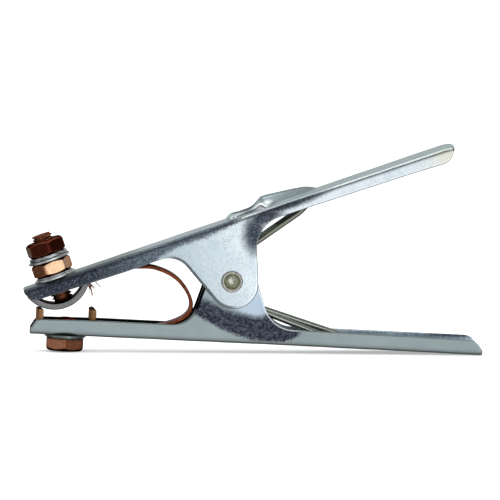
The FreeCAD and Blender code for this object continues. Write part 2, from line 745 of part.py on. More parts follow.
# -------------------------------------------------------------------- braid
# Centre line of the flat strap, from the tip of the upper jaw to the lower's.
# Along the upper web: u, distance below the clamped run
BRAID_UPPER = [
    (-89.8, 0), (-84.0, 0), (-76.8, 0), (-68.0, 0), (-61.0, 0), (-56.0, 0.5),
    (-50.0, 1.6), (-44.5, 2.75),
]
# Free loop behind the jaws: x, z
BRAID_LOOP = [
    (-38.6, 4.45), (-33.4, 3.5), (-28.7, 1.7), (-24.8, -0.85), (-21.4, -4.5),
    (-19.1, -8.3), (-18.1, -11.5), (-18.4, -14.7), (-20.0, -17.2), (-22.6, -19.2),
    (-26.2, -20.9), (-31.0, -22.5), (-37.0, -24.0), (-43.0, -25.2),
]
# Along the lower web: x
BRAID_LOWER = [-49.0, -55.0, -62.0, -75.8, -89.0]
BRAID_STEPS = 6             # points per span of the smoothed line
BRAID_GAP = CLEAR / 2       # from the clamped runs to the webs


def braid_line():
    """Catmull-Rom line through the stations, held clear of both webs."""
    top_w = UP_INNER - size["braid_thick"] / 2 - BRAID_GAP
    floor_z = LO_INNER + size["braid_thick"] / 2 + BRAID_GAP
    stations = [from_lever(u, top_w - drop) for u, drop in BRAID_UPPER]
    stations += [V(x, 0, z) for x, z in BRAID_LOOP]
    stations += [V(x, 0, floor_z) for x in BRAID_LOWER]
    last = len(stations) - 1
    line = []
    for k in range(last):
        before, start = stations[max(0, k - 1)], stations[k]
        end, after = stations[k + 1], stations[min(last, k + 2)]
        for j in range(BRAID_STEPS):
            t = j / BRAID_STEPS
            point = (start * 2 + (end - before) * t
                     + (before * 2 - start * 5 + end * 4 - after) * (t * t)
                     + (start * 3 - before - end * 3 + after) * (t * t * t)) * 0.5
            u, w = to_lever(point)
            point = from_lever(u, min(w, top_w))
            point.z = max(point.z, floor_z)
            line.append(point)
    line.append(stations[-1])
    return line


def shifted(points, offset):
    """Line moved sideways in the XZ plane."""
    out = []
    for i, point in enumerate(points):
        along = points[min(len(points) - 1, i + 1)] - points[max(0, i - 1)]
        along.normalize()
        out.append(point + V(-along.z, 0, along.x) * offset)
    return out


def make_braid():
    line = braid_line()
    thick, half = size["braid_thick"], size["braid_half"]
    one, other = shifted(line, thick / 2), shifted(line, -thick / 2)
    strap = Part.Face(Part.Wire([
        spline(one), Part.makeLine(one[-1], other[-1]),
        spline(list(reversed(other))), Part.makeLine(other[0], one[0])]))
    strap.translate(V(0, -half, 0))
    strap = strap.extrude(V(0, 2 * half, 0))
    bore = size["washer_bore"]
    stud_hole = Part.makeCylinder(bore, 8, from_lever(STUD_U, UP_WEB - 6), from_lever(0, 1))
    bolt_hole = Part.makeCylinder(bore, 8, V(BOLT_X, 0, LO_WEB), V(0, 0, 1))
    return fixed("copper_braid", strap.cut(stud_hole).cut(bolt_hole))


# ---------------------------------------------------------- build and write
pieces = [
    make_upper_lever(),
    make_lower_lever(),
    *make_stud_stack(),
    make_upper_shoe(),
    make_contact_stud(),
    *make_bolt_stack(),
    make_lower_shoe(),
    make_rivet(),
    make_spacer(),
    make_spring(),
    make_braid(),
]
doc.recompute()
for obj in doc.Objects:
    if "Invalid" in obj.State or "Error" in obj.State:
        raise RuntimeError("%s: %s" % (obj.Name, obj.State))
for obj in pieces:
    shape = obj.Shape
    if shape.isNull() or not shape.isValid() or len(shape.Solids) != 1:
        raise RuntimeError("%s: null, not valid or %d solids" % (obj.Label, len(shape.Solids)))
os.makedirs("parts", exist_ok=True)
for obj in pieces:
    obj.Shape.exportStep("parts/%s.step" % obj.Label)
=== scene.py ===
"""A spring clamp: two stamped channel levers on one rivet, with a double torsion
spring, a contact shoe in each jaw and a flat copper braid joining the shoes.

Pieces are drawn in millimetres.  The rivet's axis is Y through the origin, the
jaws point to -X, the handles to +X, and +Z is up.  The camera looks from -Y.
The upper lever and all that is bolted to it are drawn in the lever's own frame:
u along its web, y across, w square to the web.
"""
import json
import math
from functools import reduce
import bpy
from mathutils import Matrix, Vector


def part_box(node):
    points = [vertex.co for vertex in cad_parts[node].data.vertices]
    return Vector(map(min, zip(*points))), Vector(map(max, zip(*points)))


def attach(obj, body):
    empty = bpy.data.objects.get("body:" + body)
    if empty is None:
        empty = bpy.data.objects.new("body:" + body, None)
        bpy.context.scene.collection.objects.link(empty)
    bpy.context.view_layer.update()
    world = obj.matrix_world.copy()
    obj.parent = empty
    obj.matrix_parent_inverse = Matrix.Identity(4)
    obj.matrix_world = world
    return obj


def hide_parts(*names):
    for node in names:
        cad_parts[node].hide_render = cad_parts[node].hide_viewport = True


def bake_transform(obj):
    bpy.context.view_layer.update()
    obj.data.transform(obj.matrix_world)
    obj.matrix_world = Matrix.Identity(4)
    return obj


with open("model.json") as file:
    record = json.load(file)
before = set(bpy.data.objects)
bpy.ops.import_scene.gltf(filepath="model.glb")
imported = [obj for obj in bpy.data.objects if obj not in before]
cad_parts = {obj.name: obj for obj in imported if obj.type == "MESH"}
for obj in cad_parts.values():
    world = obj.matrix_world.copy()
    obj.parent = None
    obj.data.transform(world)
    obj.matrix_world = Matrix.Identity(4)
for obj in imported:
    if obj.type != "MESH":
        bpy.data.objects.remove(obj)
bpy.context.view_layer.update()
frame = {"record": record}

from types import SimpleNamespace

import bmesh
import bpy
import numpy as np
from mathutils import Matrix, Vector

MM = 0.001
scene = bpy.context.scene

# The upper lever leans as the axis of the cable lug's seat does.
mounts = {mount["name"]: mount for mount in frame["record"]["mounts"]}
lug_axis = mounts["cable_lug_seat"]["axis"]
LEAN = math.atan2(-lug_axis[0], lug_axis[2])
COS, SIN = math.cos(LEAN), math.sin(LEAN)
LEANING = Matrix.Rotation(-LEAN, 4, "Y")

BOLT_X = mounts["bolt_head_face"]["pos_m"][0] / MM    # lower bolt's axis
BOLT_Z = mounts["bolt_head_face"]["pos_m"][2] / MM    # underside of its head
STUD_U = -76.8                # contact stud's axis
SHEET = 2.0                   # thickness of both levers
UPPER_WEB = 27.2              # outer face of the upper web, along w
LOWER_WEB = 28.9              # outer face of the lower web, below the origin


def uw(u, w, y=0.0):
    """Shared-frame place of a point in the upper lever's frame."""
    return np.array([u * COS - w * SIN, y, u * SIN + w * COS])


def smooth(t):
    t = np.clip(t, 0.0, 1.0)
    return t * t * (3 - 2 * t)


def unit(v):
    return v / np.linalg.norm(v)


# ------------------------------------------------------------ mesh helpers
def reset_normals(mesh, dissolve=None):
    bm = bmesh.new()
    bm.from_mesh(mesh)
    if dissolve:
        bmesh.ops.dissolve_degenerate(bm, dist=dissolve, edges=bm.edges)
    bmesh.ops.recalc_face_normals(bm, faces=bm.faces)
    bm.to_mesh(mesh)
    bm.free()


def shade(ob, sharp):
    """Smooth shading, with edges over `sharp` degrees kept crisp."""
    ob.data.shade_smooth()
    ob.data.set_sharp_from_angle(angle=math.radians(sharp))


def mesh_object(name, verts, faces, matrix=None, sharp=38.0):
    mesh = bpy.data.meshes.new(name)
    mesh.from_pydata((np.asarray(verts, float) * MM).tolist(), [], faces)
    reset_normals(mesh)
    ob = bpy.data.objects.new(name, mesh)
    scene.collection.objects.link(ob)
    if matrix is not None:
        ob.matrix_world = matrix
    shade(ob, sharp)
    return ob


def vertex_coords(mesh):
    co = np.zeros(len(mesh.vertices) * 3, np.float32)
    mesh.vertices.foreach_get("co", co)
    return co.reshape(-1, 3)


def grid(columns, rows, closed=True):
    """Quads of a grid whose vertex index is column * rows + row."""
    faces = []
    for c in range(columns - 1):
        here, there = c * rows, (c + 1) * rows
        for r in range(rows if closed else rows - 1):
            r2 = (r + 1) % rows
            faces.append((here + r, here + r2, there + r2, there + r))
    return faces


def tube_faces(columns, rows):
    """A closed grid with a face across each end."""
    return grid(columns, rows) + [tuple(range(rows)),
                                  tuple(range((columns - 1) * rows, columns * rows))]


def stack(name, rings, matrix, sharp, closed):
    """Rings of equal count, or single pole points, joined in order."""
    verts, indices = [], []
    n = max(len(ring_) for ring_ in rings)
    for ring_ in rings:
        if len(ring_) == 1:
            indices.append([len(verts)] * n)
        else:
            indices.append(list(range(len(verts), len(verts) + n)))
        verts += list(ring_)
    faces = []
    for i in range(len(rings) if closed else len(rings) - 1):
        a, b = indices[i], indices[(i + 1) % len(rings)]
        for k in range(n):
            k2 = (k + 1) % n
            face = tuple(dict.fromkeys((a[k], a[k2], b[k2], b[k])))
            if len(face) > 2:
                faces.append(face)
    return mesh_object(name, verts, faces, matrix, sharp)


def lathe(name, profile, matrix, sides, sharp, wobble=None):
    """Profile (radius, z) turned about z.  Points on the axis become poles."""
    rings = []
    for r, z in profile:
        if r <= 1e-9:
            rings.append([(0, 0, z)])
            continue
        points = []
        for k in range(sides):
            a = 2 * math.pi * k / sides
            r2, z2 = wobble(r, z, a) if wobble else (r, z)
            points.append((r2 * math.cos(a), r2 * math.sin(a), z2))
        rings.append(points)
    closed = profile[0][0] > 1e-9 and profile[-1][0] > 1e-9
    return stack(name, rings, matrix, sharp, closed)


def ring(radius, angles, z):
    radius = np.broadcast_to(radius, angles.shape)
    z = np.broadcast_to(z, angles.shape)
    return np.stack([radius * np.cos(angles), radius * np.sin(angles), z], 1)


def rounded(corners, segments):
    """Open polyline through corners (x, y, radius), each inner corner an arc."""
    out = [corners[0][:2]]
    for i in range(1, len(corners) - 1):
        radius = corners[i][2]
        corner = np.array(corners[i][:2], float)
        back = unit(np.array(corners[i - 1][:2], float) - corner)
        ahead = unit(np.array(corners[i + 1][:2], float) - corner)
        angle = math.acos(max(-1.0, min(1.0, float(back @ ahead))))
        reach = radius / math.tan(angle / 2)
        centre = corner + unit(back + ahead) * (radius / math.sin(angle / 2))
        start = math.atan2(*(corner + back * reach - centre)[::-1])
        end = math.atan2(*(corner + ahead * reach - centre)[::-1])
        sweep = (end - start + math.pi) % (2 * math.pi) - math.pi
        steps = max(3, int(segments * abs(sweep) / (math.pi / 2)) + 1)
        for k in range(steps + 1):
            a = start + sweep * k / steps
            out.append((centre[0] + radius * math.cos(a), centre[1] + radius * math.sin(a)))
    out.append(corners[-1][:2])
    return np.array(out, float)


def bezier(a, control, b, steps):
    return [(1 - s) ** 2 * a + 2 * s * (1 - s) * control + s * s * b
            for s in (k / steps for k in range(steps + 1))]


def round_loop(corners, radii, steps):
    """Closed profile with its corners rounded by one radius or by one each."""
    radii = np.broadcast_to(radii, len(corners))
    out = []
    for i, corner in enumerate(corners):
        corner = np.array(corner, float)
        back = np.array(corners[i - 1], float) - corner
        ahead = np.array(corners[(i + 1) % len(corners)], float) - corner
        back_length, ahead_length = np.linalg.norm(back), np.linalg.norm(ahead)
        back, ahead = back / back_length, ahead / ahead_length
        angle = math.acos(max(-1.0, min(1.0, float(back @ ahead))))
        reach = min(radii[i] / math.tan(angle / 2), back_length * 0.48, ahead_length * 0.48)
        out += bezier(corner + back * reach, corner, corner + ahead * reach, steps)
    return out


def catmull(points, steps):
    """Catmull-Rom curve through points."""
    points = [np.array(p, float) for p in points]
    out = []
    for k in range(len(points) - 1):
        p0, p1 = points[max(0, k - 1)], points[k]
        p2, p3 = points[k + 1], points[min(len(points) - 1, k + 2)]
        for j in range(steps):
            t = j / steps
            out.append(0.5 * (2 * p1 + (p2 - p0) * t
                              + (2 * p0 - 5 * p1 + 4 * p2 - p3) * t * t
                              + (3 * p1 - p0 - 3 * p2 + p3) * t ** 3))
    out.append(points[-1])
    return np.array(out)


def resample(points, step):
    """Points at even distances along a curve, and those distances."""
    length = np.r_[0, np.cumsum(np.linalg.norm(np.diff(points, axis=0), axis=1))]
    count = max(2, int(round(length[-1] / step)))
    s = np.linspace(0, length[-1], count + 1)
    return np.stack([np.interp(s, length, points[:, i]) for i in range(3)], 1), s


def wire(points, radius, sides):
    """Vertices and faces of a round wire along points."""
    points = np.asarray(points, float)
    tangents = np.gradient(points, axis=0)
    tangents /= np.linalg.norm(tangents, axis=1)[:, None]
    reference = (0, 1.0, 0) if abs(tangents[0][1]) < 0.9 else (1.0, 0, 0)
    across = unit(np.cross(tangents[0], reference))
    verts = []
    for point, tangent, r in zip(points, tangents, np.broadcast_to(radius, len(points))):
        across = unit(across - (across @ tangent) * tangent)
        other = np.cross(tangent, across)
        for k in range(sides):
            a = 2 * math.pi * k / sides
            verts.append(point + r * (math.cos(a) * across + math.sin(a) * other))
    return verts, tube_faces(len(points), sides)


def cutter(verts):
    """Prism from its two end loops, one after the other."""
    return mesh_object("cutter", verts, tube_faces(2, len(verts) // 2))


def cutter_cylinder(radius, start, end, sides=64):
    start, end = np.array(start, float), np.array(end, float)
    axis = unit(end - start)
    e1 = unit(np.cross(axis, (1.0, 0, 0)))
    e2 = np.cross(axis, e1)
    angles = [2 * math.pi * k / sides for k in range(sides)]
    return cutter([p + radius * (math.cos(a) * e1 + math.sin(a) * e2)
                   for p in (start, end) for a in angles])


def cut(ob, cutters, sharp):
    """Take the cutters, drawn in the object's own frame, out of its mesh."""
    for tool in cutters:
        tool.matrix_world = ob.matrix_world
        boolean = ob.modifiers.new("cut", "BOOLEAN")
        boolean.operation = "DIFFERENCE"
        boolean.solver = "EXACT"
        boolean.object = tool
    bpy.context.view_layer.update()
    depsgraph = bpy.context.evaluated_depsgraph_get()
    mesh = bpy.data.meshes.new_from_object(ob.evaluated_get(depsgraph))
    ob.modifiers.clear()
    ob.data = mesh
    for tool in cutters:
        bpy.data.objects.remove(tool)
    reset_normals(mesh, dissolve=2e-7)
    shade(ob, sharp)


# -------------------------------------------------------------- the levers
# Both are stamped channels: a flat web, rounded corners and two cheeks.  An
# outline gives the cheeks' free edge, w against u; the lower is drawn upside down.
BEND = 3.0                              # outer radius between web and cheek
ROLL_WIDTH, ROLL_DEPTH = 1.0, 0.36      # die roll on the outside of a cut edge
BREAK_WIDTH, BREAK_DEPTH = 0.35, 0.22   # small break on its inside
WEB_STEPS, BEND_STEPS, CHEEK_STEPS = 26, 12, 20
# distances from an edge at which the skin has rows, or a lever's end has columns
RIM_ROWS = np.array([1.05, 0.8, 0.55, 0.34, 0.18, 0.07, 0.015, 0.0])
END_COLUMNS = [0, 0.02, 0.07, 0.16, 0.3, 0.5, 0.75, 1.05, 1.5, 2.1, 2.9, 3.8]
PIN_BORE = 5.25                         # hole for stud or bolt in each web


def eased(x, xs, ys):
    """Piecewise straight, with its corners eased over 4 mm each way."""
    first = (ys[1] - ys[0]) / (xs[1] - xs[0])
    last = (ys[-1] - ys[-2]) / (xs[-1] - xs[-2])
    xs = np.r_[xs[0] - 60, xs, xs[-1] + 60]
    ys = np.r_[ys[0] - 60 * first, ys, ys[-1] + 60 * last]
    return np.mean([np.interp(x + d, xs, ys) for d in np.linspace(-4.0, 4.0, 9)], axis=0)


def dense(outline, count):
    """The outline's u and w at `count` even distances."""
    u, w = outline[:, 0], outline[:, 1]
    length = np.r_[0, np.cumsum(np.hypot(np.diff(u), np.diff(w)))]
    s = np.linspace(0, length[-1], count)
    return np.interp(s, length, u), np.interp(s, length, w)


def edge_drop(distance, width, depth):
    k = np.clip(1 - distance / width, 0, 1)
    return depth * (1 - np.sqrt(1 - k * k))


def half_section(half, rim, slope, web):
    """y, w and the outward normal from the web's middle to the cheek's rim."""
    if rim > web - BEND:
        total = half - BEND + BEND * math.acos(min(1.0, max(0.0, (rim - web + BEND) / BEND)))
    else:
        total = half - BEND + BEND * math.pi / 2 + (web - BEND - rim)
    rest = total - (half - BEND)
    rim_rows = RIM_ROWS / max(0.22, 1 / math.sqrt(1 + slope * slope))
    rim_rows = rim_rows * min(1.0, 0.45 * rest / rim_rows[0])
    bend = min(BEND * math.pi / 2, (rest - rim_rows[0]) * 0.72)
    flat = half - BEND
    s = np.r_[np.linspace(0, flat, WEB_STEPS + 1),
              flat + np.linspace(0, bend, BEND_STEPS + 1)[1:],
              flat + bend + np.linspace(0, rest - rim_rows[0] - bend, CHEEK_STEPS + 1)[1:],
              total - rim_rows[1:]]
    a = np.clip((s - flat) / BEND, 0, math.pi / 2)
    y = np.where(s <= flat, s, flat + BEND * np.sin(a))
    w = web - BEND + BEND * np.cos(a) - np.clip(s - flat - BEND * math.pi / 2, 0, None)
    return y, w, np.sin(a), np.cos(a)


def channel(name, outline, tip, end, half_widths, web, us, bulge, seed=0.0,
            hood=None, dip=0.0, flip=False, matrix=None):
    """Stamped channel as one closed skin, with columns at the stations us."""
    order = np.argsort(outline[:, 0], kind="stable")
    sorted_outline = outline[order].T
    dense_u, dense_w = dense(outline, 1400)
    columns = []
    for u in us:
        half = float(eased(u, *half_widths))
        rim = float(np.interp(u, *sorted_outline))
        slope = (np.interp(u + 0.05, *sorted_outline)
                 - np.interp(u - 0.05, *sorted_outline)) / 0.1
        y, w, ny, nw = half_section(half, rim, slope, web)
        y, w = np.r_[-y[:0:-1], y], np.r_[w[:0:-1], w]
        ny, nw = np.r_[-ny[:0:-1], ny], np.r_[nw[:0:-1], nw]

        # distance from the nearest cut edge
        low = w < web - 0.25
        d = np.full(len(w), 99.0)
        d[low] = np.min(np.hypot(u - dense_u[None, :], w[low][:, None] - dense_w[None, :]),
                        axis=1)
        d[0] = d[-1] = 0.0
        d = np.minimum(d, min(abs(u - tip), abs(end - u)))
        # the die roll is heavier on the jaw side of the ear
        heavy = float(smooth((u + 25) / 4) * smooth((-3 - u) / 4))
        outer_drop = edge_drop(d, ROLL_WIDTH + 0.45 * heavy, ROLL_DEPTH + 0.42 * heavy)
        inner_drop = edge_drop(d, BREAK_WIDTH, BREAK_DEPTH)

        # gentle waviness of stamped sheet, dying out at the edges
        wave = (0.030 * np.sin(u / 9.0 + seed) * np.cos(y / 5.0 + seed)
                + 0.022 * np.sin(u / 4.3 + 1.7 + seed + w / 3.1)
                + 0.014 * np.sin(u / 2.1 + w / 1.7 + 2 * seed))
        wave *= smooth((d - 0.2) / 2.0)

        rise = hood(u, y) if hood else 0.0
        at_end = float(smooth((u - end + 12) / 12))
        skin_u = u + bulge * (1 - np.clip(np.abs(y) / half, 0, 1) ** 2) * at_end
        skin_w = w + rise - dip * float(smooth((u - end + 5.5) / 5.5)) ** 2 * (nw > 0.3) * nw
        for depth, turn in ((outer_drop - wave, 1), (SHEET - inner_drop - wave, -1)):
            columns.append(np.stack([skin_u, y - ny * depth, skin_w - nw * depth], 1)[::turn])

    rows = len(columns[0])
    loop = 2 * rows
    verts = np.concatenate(columns)
    faces = grid(len(us), loop)
    for first, as_is in ((0, True), ((len(us) - 1) * loop, False)):
        for j in range(rows - 1):
            quad = (first + j, first + j + 1, first + loop - 2 - j, first + loop - 1 - j)
            faces.append(quad if as_is else quad[::-1])
    if flip:
        verts[:, 2] *= -1
    return mesh_object(name, verts, faces, matrix, 50.0)


def ear(jaw_side, handle_side, centre, radius):
    """Lower corners of the ear: flanks touch its circle and end level with its foot."""
    foot = centre[1] - radius
    corners = []
    for (px, py), side in ((jaw_side, 1), (handle_side, -1)):
        dx, dy = px - centre[0], py - centre[1]
        a = math.atan2(dy, dx) + side * math.acos(radius / math.hypot(dx, dy))
        touch_x, touch_y = centre[0] + radius * math.cos(a), centre[1] + radius * math.sin(a)
        corners.append((px + (foot - py) / (touch_y - py) * (touch_x - px), foot, radius))
    return corners


def stations(tip, end, spans):
    """Column places: close at both ends, then spans of (from, to, step)."""
    us = [tip + e for e in END_COLUMNS] + [end - e for e in END_COLUMNS]
    for a, b, step in spans:
        us += list(np.linspace(a, b, max(1, int(round((b - a) / step))) + 1)[1:])
    return sorted(set(round(float(u), 4) for u in us))


# upper lever
UPPER_TIP, UPPER_END = -92.8, 117.0
UPPER_JAW, UPPER_HANDLE = 20.7, 21.2        # height of the cheeks' edge
UPPER_EAR_JAW = (-20.3, UPPER_JAW - 0.45)
UPPER_EAR_HANDLE = (18.9, UPPER_HANDLE + 0.2)
upper_outline = rounded([           # u, w, corner radius
    (UPPER_TIP, UPPER_WEB, 0), (UPPER_TIP, UPPER_JAW, 6.3), (-45.0, UPPER_JAW - 0.7, 80.0),
    (*UPPER_EAR_JAW, 11.2), *ear(UPPER_EAR_JAW, UPPER_EAR_HANDLE, (0.35, -1.36), 11.5),
    (*UPPER_EAR_HANDLE, 15.4), (45.0, UPPER_HANDLE, 60.0), (95.0, UPPER_HANDLE - 0.45, 60.0),
    (UPPER_END, 20.1, 6.9), (UPPER_END, UPPER_WEB, 0)], 28)[1:-1]

# hood pressed up out of the upper web: u, height, half width
HOOD = np.array([
    (5.8, 0.0, 3.0), (6.6, 0.35, 4.2), (7.6, 1.25, 6.0), (9.2, 2.0, 6.9), (12.5, 2.15, 7.5),
    (18.0, 2.05, 7.6), (20.6, 2.55, 7.6), (23.4, 4.05, 7.6), (24.7, 4.95, 7.8),
    (25.6, 5.3, 8.0), (28.5, 5.22, 8.3), (34.0, 4.6, 8.2), (40.7, 3.9, 7.8), (46.0, 3.1, 6.9),
    (49.0, 2.0, 6.3), (51.0, 0.9, 5.4), (52.6, 0.0, 4.6)])


def hood_rise(u, y):
    if u < HOOD[0, 0] or u > HOOD[-1, 0]:
        return np.zeros(len(y))
    height = np.interp(u, HOOD[:, 0], HOOD[:, 1])
    half = np.interp(u, HOOD[:, 0], HOOD[:, 2])
    t = np.clip(np.abs(y) / half, 0, 1)
    # upright walls round the opening, straight flanks with a soft crease beyond it
    c = t ** (1 / 0.78)
    upright = np.sqrt(np.clip(1 - c * c, 0, 1)) ** 0.85
    flank = (1 - t) * 1.13
    crown = 0.5 * (1 + np.cos(math.pi * t))
    k = smooth((t - 0.05) / 0.35)
    creased = ((1 - k) * (1 - 1.05 * t * t) + k * (0.42 * crown + 0.58 * flank)).clip(0, 1)
    share = float(smooth((u - 23.0) / 4.0)) * 0.9
    return height * ((1 - share) * upright + share * creased)


upper_lever = channel(
    "upper_lever_shell", upper_outline, UPPER_TIP, UPPER_END,
    ([UPPER_TIP, -17, 17, 116.9], [9.2, 11.55, 11.55, 14.6]), UPPER_WEB,
    stations(UPPER_TIP, UPPER_END, [(-89, -24, 1.3), (-24, 5, 0.6), (5, 30, 0.42),
                                    (30, 54, 0.6), (54, 106, 1.3), (106, 113.2, 0.6)]),
    bulge=1.0, hood=hood_rise, dip=0.5, matrix=LEANING)
hood_opening = rounded([            # u, y, corner radius
    (9.6, 0.1, 0), (9.6, 5.9, 5.0), (20.3, 5.7, 5.0), (24.7, 2.7, 1.6), (24.7, -2.7, 1.6),
    (20.3, -5.7, 5.0), (9.6, -5.9, 5.0), (9.6, -0.1, 0)], 10)
cut(upper_lever, [
    cutter_cylinder(PIN_BORE, (STUD_U, 0, 20), (STUD_U, 0, 34)),
    cutter_cylinder(4.0, (0, -30, 0), (0, 30, 0)),
    cutter([(u, y, w) for w in (18, 40) for u, y in hood_opening])], 50.0)

# lower lever
LOWER_TIP, LOWER_END = -92.4, 117.6
LOWER_EDGE = 21.3                           # height of the cheeks' edge
LOWER_EAR_JAW = (-18.6, LOWER_EDGE + 0.2)
LOWER_EAR_HANDLE = (19.55, LOWER_EDGE)
lower_outline = rounded([           # x, depth below the origin, corner radius
    (LOWER_TIP, LOWER_WEB, 0), (-92.15, LOWER_WEB - 2.6, 0.6), (-89.5, LOWER_EDGE + 0.5, 3.2),
    (-60.0, LOWER_EDGE, 30), (*LOWER_EAR_JAW, 12.1),
    *ear(LOWER_EAR_JAW, LOWER_EAR_HANDLE, (0, 0), 11.4),
    (*LOWER_EAR_HANDLE, 14.6), (LOWER_END, 22.0, 6.6), (LOWER_END, LOWER_WEB, 0)], 28)[:-1]
lower_lever = channel(
    "lower_lever_shell", lower_outline, LOWER_TIP, LOWER_END,
    ([LOWER_TIP, -17, 17, 117.4], [9.0, 9.45, 9.45, 14.4]), LOWER_WEB,
    stations(LOWER_TIP, LOWER_END, [(-89, -26, 1.4), (-26, 26, 0.6), (26, 106, 1.4),
                                    (106, 113.8, 0.6)]),
    bulge=0.85, seed=2.3, flip=True)
cut(lower_lever, [cutter_cylinder(PIN_BORE, (BOLT_X, 0, -34), (BOLT_X, 0, -20)),
                  cutter_cylinder(4.08, (0, -30, 0), (0, 30, 0))], 50.0)


def store_rim_distance(ob, outline, sign):
    """Distance of every vertex from the cut outline in mm, for the paint."""
    co = vertex_coords(ob.data).astype(float) / MM
    u, w = co[:, 0], co[:, 2] * sign
    rim_u, rim_w = dense(outline, 2400)
    out = np.empty(len(u), np.float32)
    for i in range(0, len(u), 2000):
        j = slice(i, i + 2000)
        out[j] = np.sqrt(((u[j, None] - rim_u) ** 2 + (w[j, None] - rim_w) ** 2).min(1))
    ob.data.attributes.new("rim_mm", "FLOAT", "POINT").data.foreach_set("value", out)


store_rim_distance(upper_lever, upper_outline, 1)
store_rim_distance(lower_lever, lower_outline, -1)

# --------------------------------------------------------------- the pivot
# Turned about Y: the lathe's z points to -Y, the side of the rolled ring.
ALONG_PIVOT = Matrix.Rotation(math.radians(90), 4, "X")
CHEEK = 11.55                       # from the middle to the upper lever's cheek
# radius, distance beyond the cheek: hollow and rolled ring, down to the shank
RIVET_RING = [
    (0.0, -2.9), (1.2, -2.75), (2.0, -2.45), (2.75, -1.9), (3.1, -1.2), (3.3, -0.3),
    (3.42, 0.35), (3.5, 0.72), (3.68, 1.0), (3.95, 1.13), (4.3, 1.13), (4.62, 1.02),
    (4.86, 0.78), (5.0, 0.45), (5.03, 0.2), (4.96, 0.03), (4.3, 0.0), (3.98, -0.05)]
# the same on the other cheek, where z runs down: shank and domed head
RIVET_HEAD = [
    (3.98, 0.05), (4.3, 0.0), (6.3, 0.0), (6.52, -0.12), (6.58, -0.4), (6.4, -0.85),
    (5.9, -1.3), (5.1, -1.7), (4.0, -2.02), (2.6, -2.22), (1.2, -2.29), (0.0, -2.3)]


def hammered(r, z, a):
    """Uneven rolled ring and hollow; the rest of the rivet stays true."""
    if z > CHEEK + 0.25:
        k = (0.035 * math.sin(3 * a + 0.6) + 0.025 * math.sin(7 * a + 2.0)
             + 0.012 * math.sin(13 * a))
        return r * (1 + k * 0.35), z + k * 1.2
    if 0.5 < r < 3.2 and z > CHEEK - 3.2:
        return r, z + 0.10 * (math.sin(2 * a + 0.9) + 0.6 * math.sin(5 * a + 2.4))
    return r, z


rivet = lathe("pivot_rivet_body",
              [(r, CHEEK + z) for r, z in RIVET_RING] + [(r, -CHEEK + z) for r, z in RIVET_HEAD],
              ALONG_PIVOT, 120, 42, hammered)
tube = lathe("pivot_spacer_body",
             round_loop([(4.1, -7.36), (6.28, -7.36), (6.28, 7.36), (4.1, 7.36)], 0.25, 3),
             ALONG_PIVOT, 72, 40)

# -------------------------------------------------------------- the spring
# Two coils round the pivot.  Their inner ends run down to the lower web, their
# outer ends up to the upper web, where a loop joins them.
COIL_RADIUS = 8.2
COIL_INNER_Y, COIL_OUTER_Y = 1.5, 5.85
WIRE_RADIUS, WIRE_SIDES = 1.44, 24
WIRE_TO_WEB = 1.51                  # wire's centre from the inside of a web
UPPER_LEG = 44.0
FOOT_Z = -LOWER_WEB + SHEET + WIRE_TO_WEB


def half_spring(side, lower_slope):
    """Points from the lower web to the upper, with their weights (1 = upper)."""
    upper = math.radians(127.4)
    lower = math.radians(270.0 - lower_slope)
    outer, inner = COIL_OUTER_Y * side, COIL_INNER_Y * side

    def on_coil(a, y):
        return np.array([COIL_RADIUS * math.cos(a), y, COIL_RADIUS * math.sin(a)])

    start = on_coil(lower, inner)
    along = np.array([-math.sin(lower), 0, math.cos(lower)])
    run = (FOOT_Z - start[2]) / along[2]
    points = [start + along * (run * k / 34.0) for k in range(34, 0, -1)]
    turns = [k / 96 for k in range(97)]
    sweep = lower - upper + 2 * math.pi
    points += [on_coil(lower - sweep * t, inner + (outer - inner) * t) for t in turns]
    last = points[-1]
    along = np.array([math.sin(upper), 0, -math.cos(upper)])
    points += [last + along * (UPPER_LEG * k / 40.0) for k in range(1, 41)]
    return points, [0.0] * 34 + turns + [1.0] * 40


near, near_weights = half_spring(-1, 19.2)
far, far_weights = half_spring(1, 15.9)
leg_x, _, leg_z = near[-1]
leg_u, leg_w = leg_x * COS + leg_z * SIN, -leg_x * SIN + leg_z * COS
loop_w = UPPER_WEB - SHEET - WIRE_TO_WEB
loop = []
for k in range(1, 32):
    a = math.pi * k / 32
    t = math.sin(a)
    loop.append(uw(leg_u + 1.5 * min(1.0, t * 2) + 6.5 * t,
                   leg_w + (loop_w - leg_w) * min(1.0, t * 1.3), -COIL_OUTER_Y * math.cos(a)))
path = np.array(near + loop + far[::-1])
spring_weights = np.array(near_weights + [1.0] * len(loop) + far_weights[::-1])
for _ in range(3):                  # ease the joins, leaving both ends alone
    path[3:-3] = 0.25 * path[2:-4] + 0.5 * path[3:-3] + 0.25 * path[4:-2]
wire_radii = np.full(len(path), WIRE_RADIUS)
wire_radii[0] = wire_radii[-1] = 1.2
spring = mesh_object("torsion_spring_wire", *wire(path, wire_radii, WIRE_SIDES), None, 55)


def set_blend(ob, weights):
    """Bake the piece's placement into its mesh.  weights (0 lower, 1 upper) is not used."""
    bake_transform(ob)


set_blend(spring, np.repeat(spring_weights, WIRE_SIDES))

# -------------------------------------------------- screws, nuts and washers
PITCH = 1.5
THREAD_CREST, THREAD_ROOT = 4.85, 3.9
NUT_FLATS, NUT_HEIGHT, NUT_BORE = 16.75, 6.8, 4.93
WASHER_BORE = 5.27
FLAT_THICK, STUD_LOCK_THICK, CABLE_LOCK_THICK = 1.2, 0.7, 1.6
LOWER_FLAT_THICK, LOWER_LOCK_THICK = 0.95, 0.65

